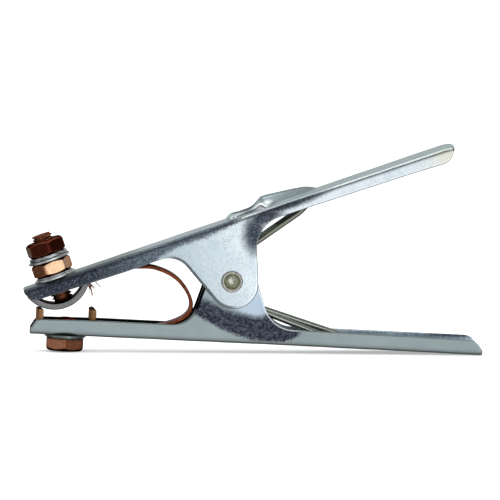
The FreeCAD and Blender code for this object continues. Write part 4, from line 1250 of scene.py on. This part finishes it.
def upper_plating(n, vec, u, across, grain):
    """The light plating, brightest from the ear along the handle."""
    tone = n.curve(u, [(-93, 0.16), (-45, 0.10), (-30, 0.15), (-20, 0.30), (-12, 0.46),
                       (0, 0.66), (9, 0.97), (16, 1.0), (60, 0.97), (118, 0.90)])
    col = n.tones(tone, (160, 177, 187), (238, 246, 250))
    col = n.paint(col, n.step(grain.coarse, off=0.40, on=0.66), (229, 238, 243), amount=0.40)
    cloud = n.noise(vec, scale=0.11, rough=0.5)
    col = n.paint(col, n.step(cloud, off=0.46, on=0.66), (196, 214, 224), amount=0.30)
    specks = n.mul(n.step(n.noise(vec, scale=2.3, rough=0.72), off=0.52, on=0.66),
                   n.step(n.noise(vec, scale=0.5, rough=0.6), off=0.40, on=0.58))
    col = n.paint(col, specks, (158, 169, 172), amount=0.75)
    col = n.paint(col, n.step(grain.grit, off=0.46, on=0.34), (238, 246, 250), amount=0.35)
    brushed = n.mul(n.strokes(vec, 2.2, 0.7, off=0.55, on=0.63),
                    n.step(grain.fine, off=0.42, on=0.56))
    col = n.paint(col, brushed, (160, 162, 150), amount=0.50)
    # painted highlight: pale yellowish towards the handle's end
    handle_end_highlight = n.curve(u, [(-93, 0), (94, 0), (104, 0.35), (112, 0.9), (118, 1)])
    col = n.paint(col, handle_end_highlight, (232, 229, 206), amount=0.8)
    lengthwise = n.noise(n.stretch(vec, (0.08, 1.0, 1.0)), scale=0.9)
    web = n.tones(n.step(lengthwise, off=0.40, on=0.62), (188, 200, 202), (208, 220, 221))
    web = n.paint(web, n.step(u, off=-30, on=-42), (120, 130, 132), amount=0.55)
    return n.tones(n.sub(1.0, n.step(across, off=0.55, on=0.9)), col, web)


def upper_trim(n, col, u, y, w, across, facing_y, patch, grain):
    """The inside, the cut edges, the rim and the hood, with painted shade and a painted
    highlight.
    """
    # painted shade on the inside of the far cheek
    inside = n.mul(n.step(y, off=2.0, on=4.0), n.step(facing_y, off=-0.3, on=-0.7),
                   n.step(w, off=25.0, on=24.0))
    col = n.paint(col, inside, (40, 44, 48), amount=0.85)
    # painted shade over the bend along the jaw
    jaw_bend_shade = n.mul(n.step(across, off=0.97, on=0.6), n.step(u, off=-36, on=-50),
                     n.step(w, off=22.5, on=24.5))
    col = n.paint(col, jaw_bend_shade, (92, 100, 104), amount=0.6)
    # painted light and shade on the cut faces: grey by the jaw, dark round the ear, light on the
    # handle
    cut_face = n.mul(n.step(across, off=0.93, on=0.62), n.step(w, off=23.0, on=21.0))
    cut_tone = n.tones(n.step(u, off=-26, on=-22), (150, 160, 160),
                       n.tones(n.step(u, off=4, on=12), (74, 82, 82), (168, 176, 176)))
    col = n.paint(col, cut_face, cut_tone, amount=0.9)

    # painted shade along the ear's sheared rim: a grey band on the jaw side, a thin dark line
    # elsewhere
    rim = n.attribute("rim_mm", "Fac")
    cheek = n.step(across, off=0.25, on=0.5)
    ragged = n.mul(n.sub(grain.coarse, 0.5), 0.5)
    jaw_side = n.mul(n.step(u, off=0.0, on=-5.0), n.step(w, off=21.5, on=18.5))
    band = n.mul(n.step(n.add(rim, ragged), off=1.40, on=1.10), jaw_side, cheek)
    band_tone = n.tones(n.step(rim, off=0.95, on=0.65), (84, 92, 92), (134, 144, 144))
    col = n.paint(col, band, band_tone, amount=0.92)
    elsewhere = n.math("MAXIMUM", n.step(w, off=16.0, on=13.0), n.step(u, off=4.0, on=8.0))
    line = n.mul(n.step(rim, off=0.52, on=0.30), elsewhere,
                 n.mul(cheek, n.step(w, off=26.8, on=26.2)))
    line_tone = n.tones(n.mul(patch, 0.9), (100, 105, 102), (172, 180, 180))
    col = n.paint(col, line, line_tone, amount=0.8)

    # painted shade: the hood is darker than the cheek, with a painted shadow at its foot and a
    # painted highlight
    hood = n.mul(n.step(w, off=27.35, on=28.2),
                 n.mul(n.step(u, off=22.0, on=25.5), n.step(u, off=54.0, on=48.0)))
    hood_tone = n.tones(n.step(grain.coarse, off=0.4, on=0.65),
                        (132, 145, 150), (156, 168, 172))
    col = n.paint(col, hood, hood_tone, amount=0.85)
    foot = n.mul(n.step(w, off=27.22, on=27.40), n.step(w, off=28.9, on=28.3),
                 n.mul(n.step(u, off=13.0, on=17.0), n.step(u, off=33.0, on=29.0)))
    col = n.paint(col, foot, (104, 117, 122), amount=0.65)
    # painted highlight on the hood
    white = n.oval(u, w, (24.9, 28.7), (4.3, 1.30), 4.0, 0.45, n.mul(grain.jitter, 0.05))
    col = n.paint(col, n.mul(white, n.step(y, off=0.0, on=-3.0)), (244, 250, 252), amount=0.9)
    return n.paint(col, n.edges(), (128, 138, 140), amount=0.25)


def zinc_upper():
    n = new_nodes("zinc_upper")
    vec = n.own_mm()
    u, y, w = n.split(vec)
    grain = sheet_grain(n, vec, fineness=1.0, grit_scale=1.15, sway=3.2, ragged=5.0)
    facing_y = n.split(n.true_normal())[1]
    across = n.math("ABSOLUTE", facing_y)
    dark, patch = upper_dark(n, u, w, across, grain)
    light = upper_plating(n, vec, u, across, grain)
    mottle = dark_mottle(n, vec, grain, -0.5, (22, 24, 33), (66, 74, 92),
                         grains=((138, 148, 166), 0.8), pits=((16, 18, 24), 0.75),
                         strokes=((24, 27, 34), 0.35))
    fade = n.curve(u, [(-93, 0.10), (-80, 0.0), (-60, 0.05), (-45, 0.30), (-30, 0.55),
                       (0, 0.5), (14, 0.12), (30, 0.1), (52, 0.35), (118, 0.4)])
    gritty = n.add(0.45, n.mul(n.step(grain.grit, off=0.42, on=0.60), 0.9))
    mottle = n.paint(mottle, n.mul(fade, gritty), (142, 156, 168))
    col = join_mottle(n, grain, dark, light, mottle, (96, 106, 122), 1.8)
    col = upper_trim(n, col, u, y, w, across, facing_y, patch, grain)
    return sheet_metal(n, col, grain, dark, rough=0.25, dark_rough=0.14, scratch=0.35,
                       strength=0.14)


def lower_plating(n, vec, x, z, border, grain):
    """Grey green, with soft clouds, lengthwise streaks and a pale place."""
    col = n.tones(n.noise(vec, scale=0.10, rough=0.5), (146, 157, 158), (163, 174, 172))
    streaks = n.noise(n.stretch(vec, (0.06, 1.0, 1.2)), scale=0.9, rough=0.6)
    col = n.paint(col, n.step(streaks, off=0.46, on=0.66), (144, 160, 170), amount=0.22)
    col = n.paint(col, n.step(grain.coarse, off=0.5, on=0.7), (182, 190, 188), amount=0.20)
    specks = n.mul(n.step(grain.grit, off=0.55, on=0.68), n.step(grain.coarse, off=0.42, on=0.6))
    col = n.paint(col, specks, (126, 136, 136), amount=0.35)
    pale = n.oval(x, z, (9.0, -8.0), (10.5, 7.8), -30, 0.45, n.mul(grain.jitter, 0.04))
    col = n.paint(col, pale, (206, 220, 232), amount=0.85)
    halo = n.mul(n.step(n.sub(z, border), off=-1.5, on=4.0), n.step(z, off=-3.0, on=-9.0),
                 n.step(x, off=-18, on=-8))
    return n.paint(col, halo, (176, 196, 216), amount=0.45)


def lower_inside(n, vec, x, z):
    """Inside of the far cheek, painted shade: black in the jaw, darker near its edge, pale and
    streaked in the handle.
    """
    fur = n.strokes(vec, 1.7, 0.35, off=0.44, on=0.60)
    depth = n.curve(x, [(-93, 0.9), (15, 0.6), (26, 0.04), (60, 0.06), (90, 0.20),
                        (97, 0.9), (104, 1.0), (118, 1.0)])
    shadow = n.mul(n.step(z, off=-24.5, on=-21.5),
                   n.add(depth, n.mul(fur, 0.35, n.step(x, off=60, on=90))))
    col = n.tones(shadow, (200, 216, 230), (44, 48, 58))
    col = n.paint(col, fur, (92, 104, 122), amount=0.35)
    return n.mix(n.step(x, off=24.0, on=12.0), col, SHADE_BLACK)


def zinc_lower():
    n = new_nodes("zinc_lower")
    vec = n.own_mm()
    x, y, z = n.split(vec)
    grain = sheet_grain(n, vec, fineness=0.9, grit_scale=1.1, sway=3.0, ragged=4.6)
    jitter = grain.jitter
    facing_y = n.split(n.true_normal())[1]
    across = n.math("ABSOLUTE", facing_y)

    # the mottle is a band across the cheek: x, z of its borders
    upper = n.curve(x, [(-30, -11.5), (-17.4, -11.0), (-14.3, -8.8), (-11, -9.2),
                        (-7.3, -11.0), (-2.5, -13.3), (2.2, -14.4), (6.9, -15.1),
                        (11.6, -16.2), (14.9, -16.0), (21, -12), (60, -10)], low=-30, high=0)
    lower = n.curve(x, [(-30, -15.4), (-17.3, -15.8), (-13.9, -17.3), (-9.2, -19.4),
                        (-4.4, -22.0), (0.3, -23.8), (5.1, -25.4), (9.8, -26.6),
                        (15.4, -27.3), (23.7, -27.0), (29.2, -25.9), (33, -23.6),
                        (60, -22)], low=-30, high=0)
    above = n.step(n.sub(n.add(z, jitter), lower), off=-0.9, on=0.9)
    below = n.step(n.sub(upper, n.add(z, n.mul(jitter, 0.8))), off=-1.9, on=1.9)
    between = n.mul(n.step(n.add(x, jitter), off=-18.5, on=-15.0),
                    n.step(n.add(x, jitter), off=34.5, on=31.0))
    dark = n.mul(above, below, between, n.step(across, off=0.75, on=0.95))

    light = lower_plating(n, vec, x, z, upper, grain)
    mottle = dark_mottle(n, vec, grain, 0.5, (40, 43, 54), (88, 95, 108),
                         grains=((142, 149, 158), 0.7), pits=((34, 36, 44), 0.6),
                         strokes=((36, 38, 46), 0.3))
    col = join_mottle(n, grain, dark, light, mottle, (92, 100, 116), 1.6)
    # painted shade on the inside of the far cheek
    inside = n.mul(n.step(y, off=3.0, on=5.0), n.step(facing_y, off=-0.3, on=-0.7))
    col = n.mix(inside, col, lower_inside(n, vec, x, z))

    # rim of the near cheek: painted shade, black, on the ear's jaw side, and a painted highlight
    # on its handle side
    rim = n.attribute("rim_mm", "Fac")
    near_side = n.step(y, off=0.0, on=-2.0)
    near_cheek = n.mul(n.step(across, off=0.25, on=0.5), near_side)
    black = n.mul(n.step(rim, off=1.30, on=1.05),
                  n.mul(n.step(z, off=-15.5, on=-13.0), n.step(x, off=-6.0, on=-9.0)),
                  near_side)
    col = n.mix(black, col, SHADE_BLACK)
    bright = n.mul(n.step(rim, off=0.75, on=0.45),
                   n.mul(n.step(x, off=9.0, on=13.0), n.step(x, off=36.0, on=30.0)),
                   near_cheek)
    col = n.paint(col, bright, (226, 233, 234), amount=0.85)
    col = n.paint(col, n.edges(), (176, 186, 186), amount=0.4)
    return sheet_metal(n, col, grain, dark, rough=0.27, dark_rough=0.12, scratch=0.4,
                       strength=0.13)


# --- plain and plated small pieces
def two_tone(n, vec, grain, light, dark):
    """Clouds, grain, and a colour that follows both."""
    clouds = n.noise(vec, scale=0.35 * grain, detail=5, rough=0.65, warp=0.4)
    grains = n.noise(vec, scale=1.6 * grain, rough=0.6)
    mask = n.step(n.add(n.mul(clouds, 0.6), n.mul(grains, 0.4)), off=0.36, on=0.64)
    return clouds, grains, n.tones(mask, dark, light)


def paint_face_light_and_shade(n, col, vec, grains, faces, slopes, lean):
    """Painted light and shade: tone each hexagon face by its angle, and whatever slopes up or
    down.
    """
    normal = n.node("ShaderNodeVectorTransform", {0: n.true_normal()}, vector_type="NORMAL",
                    convert_from="WORLD", convert_to="OBJECT")
    nx, ny, nz = n.split(normal.outputs[0])
    if lean:                        # measure in the upper lever's frame
        nx, nz = (n.add(n.mul(nx, COS), n.mul(nz, SIN)),
                  n.sub(n.mul(nz, COS), n.mul(nx, SIN)))
    for angle, tone, amount in faces:
        c, s = math.cos(math.radians(angle)), math.sin(math.radians(angle))
        toward = n.add(n.mul(nx, c), n.mul(ny, s))
        face = n.tones(n.step(grains, off=0.40, on=0.62), tone,
                       tuple(min(255, v * 1.12) for v in tone))
        dull = n.step(n.noise(vec, scale=0.75, detail=5, rough=0.72), off=0.50, on=0.62)
        face = n.paint(face, dull, tuple(v * 0.76 for v in tone), amount=0.45)
        col = n.paint(col, n.step(toward, off=0.90, on=0.975), face, amount)
    return n.paint(col, n.step(n.math("ABSOLUTE", nz), off=0.16, on=0.42), slopes)


def plated(name, light, dark, rough, grain, bump, edge=None, spots=None, turned=False,
           faces=(), slopes=None, lean=False, sides=None, streak=None, core=None, tops=None,
           tint=None):
    """Two tones by noise, then the marks asked for.

    edge, spots: (tone, amount).  faces: (angle, tone, amount) of side faces, painted light
    and shade by the way each face turns, with `slopes` for the rest.  sides: tone of faces not
    square to Y.
    streak: (frequency, slant, tone, amount).  core: (radius, tone, amount) inside
    a radius.  tops: (height, tone, amount) above a height."""
    n = new_nodes(name)
    vec = n.own_mm()
    clouds, grains, col = two_tone(n, vec, grain, light, dark)
    if spots:
        spotted = n.noise(vec, scale=0.9 * grain, detail=6, rough=0.75)
        col = n.paint(col, n.step(spotted, off=0.56, on=0.66), *spots)
    if faces:
        col = paint_face_light_and_shade(n, col, vec, grains, faces, slopes, lean)
    if edge:
        col = n.paint(col, n.edges(), *edge)
    if sides:
        across = n.math("ABSOLUTE", n.split(n.true_normal())[1])
        col = n.paint(col, n.step(across, off=0.985, on=0.88), sides)
    x, y, z = n.split(vec) if streak or core or tops else (None, None, None)
    if streak:
        frequency, slant, tone, amount = streak
        wave = n.math("SINE", n.mul(n.add(x, n.mul(z, slant), n.mul(grains, 0.8)), frequency))
        col = n.paint(col, n.step(wave, off=0.1, on=0.8), tone, amount)
    if core:
        radius, tone, amount = core
        distance = n.math("SQRT", n.add(n.mul(x, x), n.mul(y, y)))
        inside = n.mul(n.step(distance, off=radius + 0.25, on=radius - 0.25),
                       n.step(z, off=4.0, on=6.0))
        col = n.paint(col, inside, tone, amount)
    if tops:
        level, tone, amount = tops
        height = n.add(z, n.mul(n.sub(grains, 0.5), 1.2))
        col = n.paint(col, n.step(height, off=level - 0.35, on=level + 0.35), tone, amount)

    fine = n.noise(vec, scale=5.0 * grain, detail=2, rough=0.6)
    relief = n.add(n.mul(grains, 0.6), n.mul(fine, 0.4))
    if turned:                      # rings left by a lathe
        rings = n.node("ShaderNodeTexWave", {"Vector": vec, "Scale": 1.6, "Distortion": 0.6},
                       wave_type="RINGS", rings_direction="Z", wave_profile="SIN")
        relief = n.add(relief, n.mul(rings.outputs["Fac"], 0.35))
    rough = n.add(rough - 0.07, n.add(n.mul(clouds, 0.08), n.mul(grains, 0.10)))
    return n.metal(col, rough, n.bump(relief, bump, depth=0.06), tint=tint)


PLATED = {
    "rivet_steel": dict(
        light=(196, 192, 186), dark=(158, 156, 146), rough=0.27, grain=1.3, bump=0.25,
        edge=((206, 204, 200), 0.3), spots=((120, 118, 96), 0.45),
        # core: painted light, the hollow made lighter and olive
        core=(3.35, (204, 206, 184), 0.7)),
    "tube_steel": dict(
        light=(150, 150, 146), dark=(112, 112, 108), rough=0.38, grain=1.0, bump=0.25,
        turned=True),
    "shoe_copper_upper": dict(
        light=(136, 137, 136), dark=(116, 117, 118), rough=0.38, grain=0.9, bump=0.2,
        edge=((84, 60, 48), 0.8), spots=((140, 110, 94), 0.4), tint=(150, 130, 120),
        sides=(58, 38, 30)),
    "copper_thread": dict(
        light=(186, 132, 102), dark=(116, 72, 52), rough=0.34, grain=1.4, bump=0.3,
        edge=((196, 144, 114), 0.5), spots=((66, 38, 26), 0.5), tint=(130, 80, 56)),
    "zinc_washer": dict(
        light=(204, 206, 206), dark=(188, 192, 192), rough=0.30, grain=0.4, bump=0.01,
        spots=((172, 176, 176), 0.2)),
    # painted shade: a darker copy of the washers' zinc
    "zinc_washer_mid_shade": dict(
        light=(146, 154, 150), dark=(122, 130, 126), rough=0.42, grain=0.5, bump=0.02,
        edge=((96, 100, 98), 0.3), spots=((104, 110, 106), 0.3)),
    "zinc_split": dict(
        light=(196, 198, 198), dark=(176, 180, 180), rough=0.30, grain=0.4, bump=0.01,
        spots=((164, 168, 168), 0.2), streak=(1.9, 2.4, (92, 94, 90), 0.6)),
    # tops: a painted shadow line along the top face
    "zinc_flat": dict(
        light=(214, 216, 214), dark=(196, 200, 198), rough=0.30, grain=0.4, bump=0.01,
        spots=((180, 184, 182), 0.2), tops=(1.0, (64, 66, 64), 0.85)),
    # painted shade: a darker copy of the washers' zinc
    "zinc_washer_deep_shade": dict(
        light=(112, 118, 116), dark=(84, 90, 88), rough=0.34, grain=0.8, bump=0.12,
        edge=((110, 114, 112), 0.4), spots=((44, 46, 46), 0.35)),
    "copper_bright": dict(
        light=(128, 84, 58), dark=(102, 66, 45), rough=0.24, grain=0.8, bump=0.10,
        edge=((84, 48, 30), 0.65), spots=((150, 100, 76), 0.35),
        # faces and slopes: painted light on the nut's faces, painted shade on its slopes
        faces=((279.3, (216, 176, 142), 1.0), (339.3, (208, 176, 154), 0.95),
               (219.3, (218, 150, 106), 0.95)),
        slopes=(96, 60, 42), tint=(150, 96, 66), lean=True),
    "copper_dark": dict(
        light=(92, 40, 28), dark=(70, 30, 20), rough=0.26, grain=0.9, bump=0.12,
        edge=((104, 58, 42), 0.45), spots=((50, 24, 18), 0.4),
        # faces and slopes: painted light on one face and on the slopes
        faces=((191.0, (255, 232, 216), 1.0),),
        slopes=(112, 64, 48), tint=(92, 50, 36), lean=True),
    "copper_brown": dict(
        light=(156, 104, 80), dark=(128, 82, 60), rough=0.34, grain=0.7, bump=0.2,
        edge=((84, 50, 36), 0.55), spots=((106, 64, 46), 0.45),
        # faces and slopes: painted light and shade on the head; tops: painted light on the
        # shank's end
        faces=((237.8, (174, 118, 90), 0.9), (297.8, (134, 84, 60), 0.8)),
        slopes=(40, 24, 18), tint=(110, 66, 48), tops=(12.5, (168, 84, 50), 0.8)),
    "shoe_bronze_lower": dict(
        light=(150, 112, 76), dark=(112, 82, 58), rough=0.36, grain=1.1, bump=0.25,
        edge=((84, 60, 42), 0.5), spots=((80, 54, 38), 0.55),
        # faces and slopes: painted light and shade; tops: dark, partly wear and partly painted
        # shade
        faces=((185.0, (232, 186, 156), 0.9),),
        slopes=(60, 40, 30), tint=(120, 88, 62), tops=(8.3, (62, 42, 32), 0.85)),
}


def spring_steel():
    """Drawn wire, each of its coils and legs toned by its place; the far wire's darker tone is
    painted shade.
    """
    n = new_nodes("spring_steel")
    vec = n.own_mm()
    _, y, z = n.split(vec)
    _, grains, col = two_tone(n, vec, 1.0, (172, 174, 166), (150, 154, 146))
    # painted shade: the far wire darker, teal above and brown below
    far = n.step(y, off=1.5, on=4.0)
    above = n.step(z, off=2.0, on=8.0)
    col = n.paint(col, far, n.tones(above, (96, 86, 70), (112, 132, 132)), amount=0.8)
    col = n.paint(col, n.mul(n.sub(1.0, far), above), (118, 118, 104), amount=0.85)
    spots = n.step(n.noise(vec, scale=0.8, detail=5, rough=0.7), off=0.58, on=0.68)
    col = n.paint(col, spots, (104, 96, 80), amount=0.4)
    drawn = n.noise(n.stretch(vec, (0.3, 1.0, 0.3)), scale=2.4, detail=2)
    return n.metal(col, n.add(0.19, n.mul(grains, 0.06)), n.bump(drawn, 0.015, depth=0.03))


def braid_copper():
    n = new_nodes("braid_copper")
    vec = n.own_mm()
    clouds = n.noise(vec, scale=0.30, detail=4, rough=0.6)
    hairs = n.noise(n.stretch(vec, (5.0, 1.2, 5.0), (0.4, 0.3, 0.7)), scale=1.4, detail=2,
                    rough=0.6)
    col = n.tones(n.step(clouds, off=0.36, on=0.66), (98, 50, 32), (138, 76, 50))
    col = n.paint(col, n.step(hairs, off=0.52, on=0.66), (62, 30, 18), amount=0.65)
    return n.metal(col, n.add(0.36, n.mul(hairs, 0.18)), n.bump(hairs, 0.4, depth=0.10),
                   metallic=0.2, tint=(90, 46, 30))


materials = {"zinc_upper": zinc_upper(), "zinc_lower": zinc_lower()}
materials.update({name: plated(name, **look) for name, look in PLATED.items()})
materials.update(spring_steel=spring_steel(), braid_copper=braid_copper())

# object, body it rides on, node it replaces, slot, material if not the slot's own
PIECES = [
    (upper_lever, "upper_jaw", "upper_lever", "zinc_upper", None),
    (lower_lever, "lower_jaw", "lower_lever", "zinc_lower", None),
    (rivet, "upper_jaw", "pivot_rivet", "rivet_steel", None),
    (tube, "lower_jaw", "pivot_spacer_tube", "tube_steel", None),
    (spring, None, "torsion_spring", "spring_steel", None),
    (upper_shoe, "upper_jaw", "upper_contact_shoe", "shoe_copper_upper", None),
    (stud, "upper_jaw", "contact_stud", "copper_thread", None),
    (stud_flat, "upper_jaw", "stud_flat_washer", "zinc_washer", None),
    (stud_lock, "upper_jaw", "stud_lock_washer", "zinc_washer", None),
    (clamp_nut, "upper_jaw", "clamp_nut", "copper_bright", None),
    (cable_flat, "cable_washers", "cable_flat_washer", "zinc_washer", "zinc_flat"),
    (cable_lock, "cable_washers", "cable_lock_washer", "zinc_washer", "zinc_split"),
    (cable_nut, "cable_nut", "cable_nut", "copper_dark", None),
    (lower_shoe, "lower_jaw", "lower_contact_shoe", "shoe_bronze_lower", None),
    (bolt, "lower_jaw", "lower_contact_bolt", "copper_brown", None),
    (lower_flat, "lower_jaw", "lower_flat_washer", "zinc_washer", "zinc_washer_mid_shade"),
    (lower_lock, "lower_jaw", "lower_lock_washer", "zinc_washer", "zinc_washer_deep_shade"),
    (braid, None, "copper_braid", "braid_copper", None),
    (upper_frays, "upper_jaw", None, "braid_copper", None),
    (lower_frays, "lower_jaw", None, "braid_copper", None),
]
for ob, body, node, slot, material in PIECES:
    # keep each piece's own coordinates for its paint, then stand its mesh in
    # the shared frame, so that its box is its true box
    mesh = ob.data
    own = vertex_coords(mesh).ravel() * np.float32(1000.0)
    mesh.attributes.new("own_mm", "FLOAT_VECTOR", "POINT").data.foreach_set("vector", own)
    if body and ob.matrix_world != Matrix.Identity(4):
        mesh.transform(ob.matrix_world)
        ob.matrix_world = Matrix.Identity(4)
        mesh.update()
    mesh.materials.clear()
    mesh.materials.append(materials[material or slot])
    if body:
        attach(ob, body)
    if node:
        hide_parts(node)


# ------------------------------------------------------------------- stage
def make_floor():
    """Pale floor touching the bolt's head and the end of the lower handle."""
    x0, z0 = BOLT_X + 8.1, BOLT_Z
    x1, z1 = 118.4, -28.95
    slope = (z1 - z0) / (x1 - x0)
    reach, cells = 40000.0, 8
    ticks = [-reach + 2 * reach * i / cells for i in range(cells + 1)]
    mesh = bpy.data.meshes.new("floor")
    mesh.from_pydata([(x * MM, y * MM, (z0 - 0.05 + slope * (x - x0)) * MM)
                      for x in ticks for y in ticks],
                     [], grid(cells + 1, cells + 1, closed=False))
    ob = bpy.data.objects.new("floor", mesh)
    scene.collection.objects.link(ob)

    n = new_nodes("floor_paper")
    vec = n.scaled(n.node("ShaderNodeTexCoord").outputs["Object"], 1000.0)
    colour = n.mix(n.noise(vec, scale=0.02, detail=2), (0.90, 0.90, 0.90), (0.93, 0.93, 0.93))
    paper = n.node("ShaderNodeBsdfPrincipled", {
        "Base Color": colour, "Roughness": 0.95, "Specular IOR Level": 0.0,
        "Emission Color": (1.0, 1.0, 1.0, 1.0), "Emission Strength": 0.30})
    n.node("ShaderNodeOutputMaterial", {0: paper.outputs[0]})
    mesh.materials.append(n.owner)
    ob.visible_glossy = False


# What the metal reflects.  Stops are (degrees, level, tint if any).
COOL = (0.97, 1.0, 1.03)
GREEN = (0.93, 1.0, 0.995)
# about the lever's length: 0 towards the viewer, 90 overhead, 180 behind
AROUND_LENGTH = [
    (-180, 0.42, GREEN), (-150, 0.14), (-105, 0.12), (-84, 0.60), (-50, 0.82, COOL),
    (-15, 0.93, COOL), (0, 0.95, COOL), (22, 0.94, COOL), (34, 0.65), (45, 0.22), (54, 0.10),
    (72, 0.12), (81, 1.2), (86, 2.2), (95, 2.2), (102, 0.85), (110, 0.62), (124, 0.60, GREEN),
    (150, 0.56, GREEN), (179.9, 0.52, GREEN)]
# about the vertical: 0 towards the viewer, positive to the right
AROUND_VERTICAL = [
    (-180, 1.0), (-150, 1.4), (-125, 0.7), (-97, 0.46), (-80, 0.52), (-60, 0.80), (-46, 0.48),
    (-33, 0.26), (-20, 0.8), (-9, 1.0), (0, 1.0), (8, 1.0), (14, 1.75), (28, 1.75), (38, 0.8),
    (50, 0.48), (62, 0.56), (76, 0.32), (92, 0.34), (112, 0.7), (143, 1.6), (179.9, 1.0)]


def make_world():
    """White for the eye and the floor, bright and dark panels for reflections."""
    world = bpy.data.worlds.new("studio")
    n = Nodes(world)
    scene.world = world
    generated = n.node("ShaderNodeTexCoord").outputs["Generated"]
    direction = n.node("ShaderNodeVectorMath", {0: generated}, operation="NORMALIZE")
    x, y, z = n.split(direction.outputs[0])

    def panels(side, stops):
        angle = n.math("ARCTAN2", side, n.mul(y, -1.0))
        turn = n.add(n.math("DIVIDE", angle, 2 * math.pi), 0.5)
        colours = []
        for degrees, level, *tint in stops:
            tint = tint[0] if tint else (1, 1, 1)
            colours.append((degrees / 360 + 0.5, tuple(level * t for t in tint)))
        return n.ramp(turn, colours)

    room = panels(z, AROUND_LENGTH)
    both = n.mix(1.0, room, panels(x, AROUND_VERTICAL), "MULTIPLY")
    # the panels about the vertical fade out overhead and underfoot
    level_view = n.step(n.math("ABSOLUTE", z), off=0.80, on=0.45)
    seen = n.node("ShaderNodeBackground", {0: (1.0, 1.0, 1.0, 1.0), 1: 1.22})
    reflected = n.node("ShaderNodeBackground", {0: n.mix(level_view, room, both)})
    glossy = n.node("ShaderNodeLightPath").outputs["Is Glossy Ray"]
    chosen = n.node("ShaderNodeMixShader",
                    {0: glossy, 1: seen.outputs[0], 2: reflected.outputs[0]})
    n.node("ShaderNodeOutputWorld", {0: chosen.outputs[0]})
    world.cycles.sampling_method = "NONE"


def make_key_light():
    light = bpy.data.lights.new("key_soft", "AREA")
    light.shape = "RECTANGLE"
    light.size = light.size_y = 1.2
    light.energy = 2.2
    ob = bpy.data.objects.new("key_soft", light)
    place = Vector((-0.5, -0.9, 1.5))
    ob.location = place
    ob.rotation_mode = "QUATERNION"
    ob.rotation_quaternion = (-place).to_track_quat("-Z", "Y")
    ob.visible_glossy = False
    scene.collection.objects.link(ob)


def make_camera():
    azimuth, elevation, roll = (math.radians(d) for d in (-3.0, 4.3, 2.854))
    distance = 2.5
    target = Vector((8.2005 * MM, 0, 14.2041 * MM))
    back = Vector((math.sin(azimuth) * math.cos(elevation),
                   -math.cos(azimuth) * math.cos(elevation), math.sin(elevation)))
    level = (-back).cross(Vector((0, 0, 1))).normalized()
    upright = level.cross(-back).normalized()
    right = level * math.cos(roll) + upright * math.sin(roll)
    up = -level * math.sin(roll) + upright * math.cos(roll)
    data = bpy.data.cameras.new("camera")
    data.sensor_width = 36.0
    data.lens = 387.0
    data.clip_start = 0.05
    data.clip_end = 200.0
    camera = bpy.data.objects.new("camera", data)
    scene.collection.objects.link(camera)
    matrix = Matrix.Identity(4)
    for column, vector in enumerate((right, up, back, target + back * distance)):
        for row in range(3):
            matrix[row][column] = vector[row]
    camera.matrix_world = matrix
    scene.camera = camera


make_floor()
make_world()
make_key_light()
make_camera()
scene.view_settings.view_transform = "Standard"
scene.view_settings.look = "None"
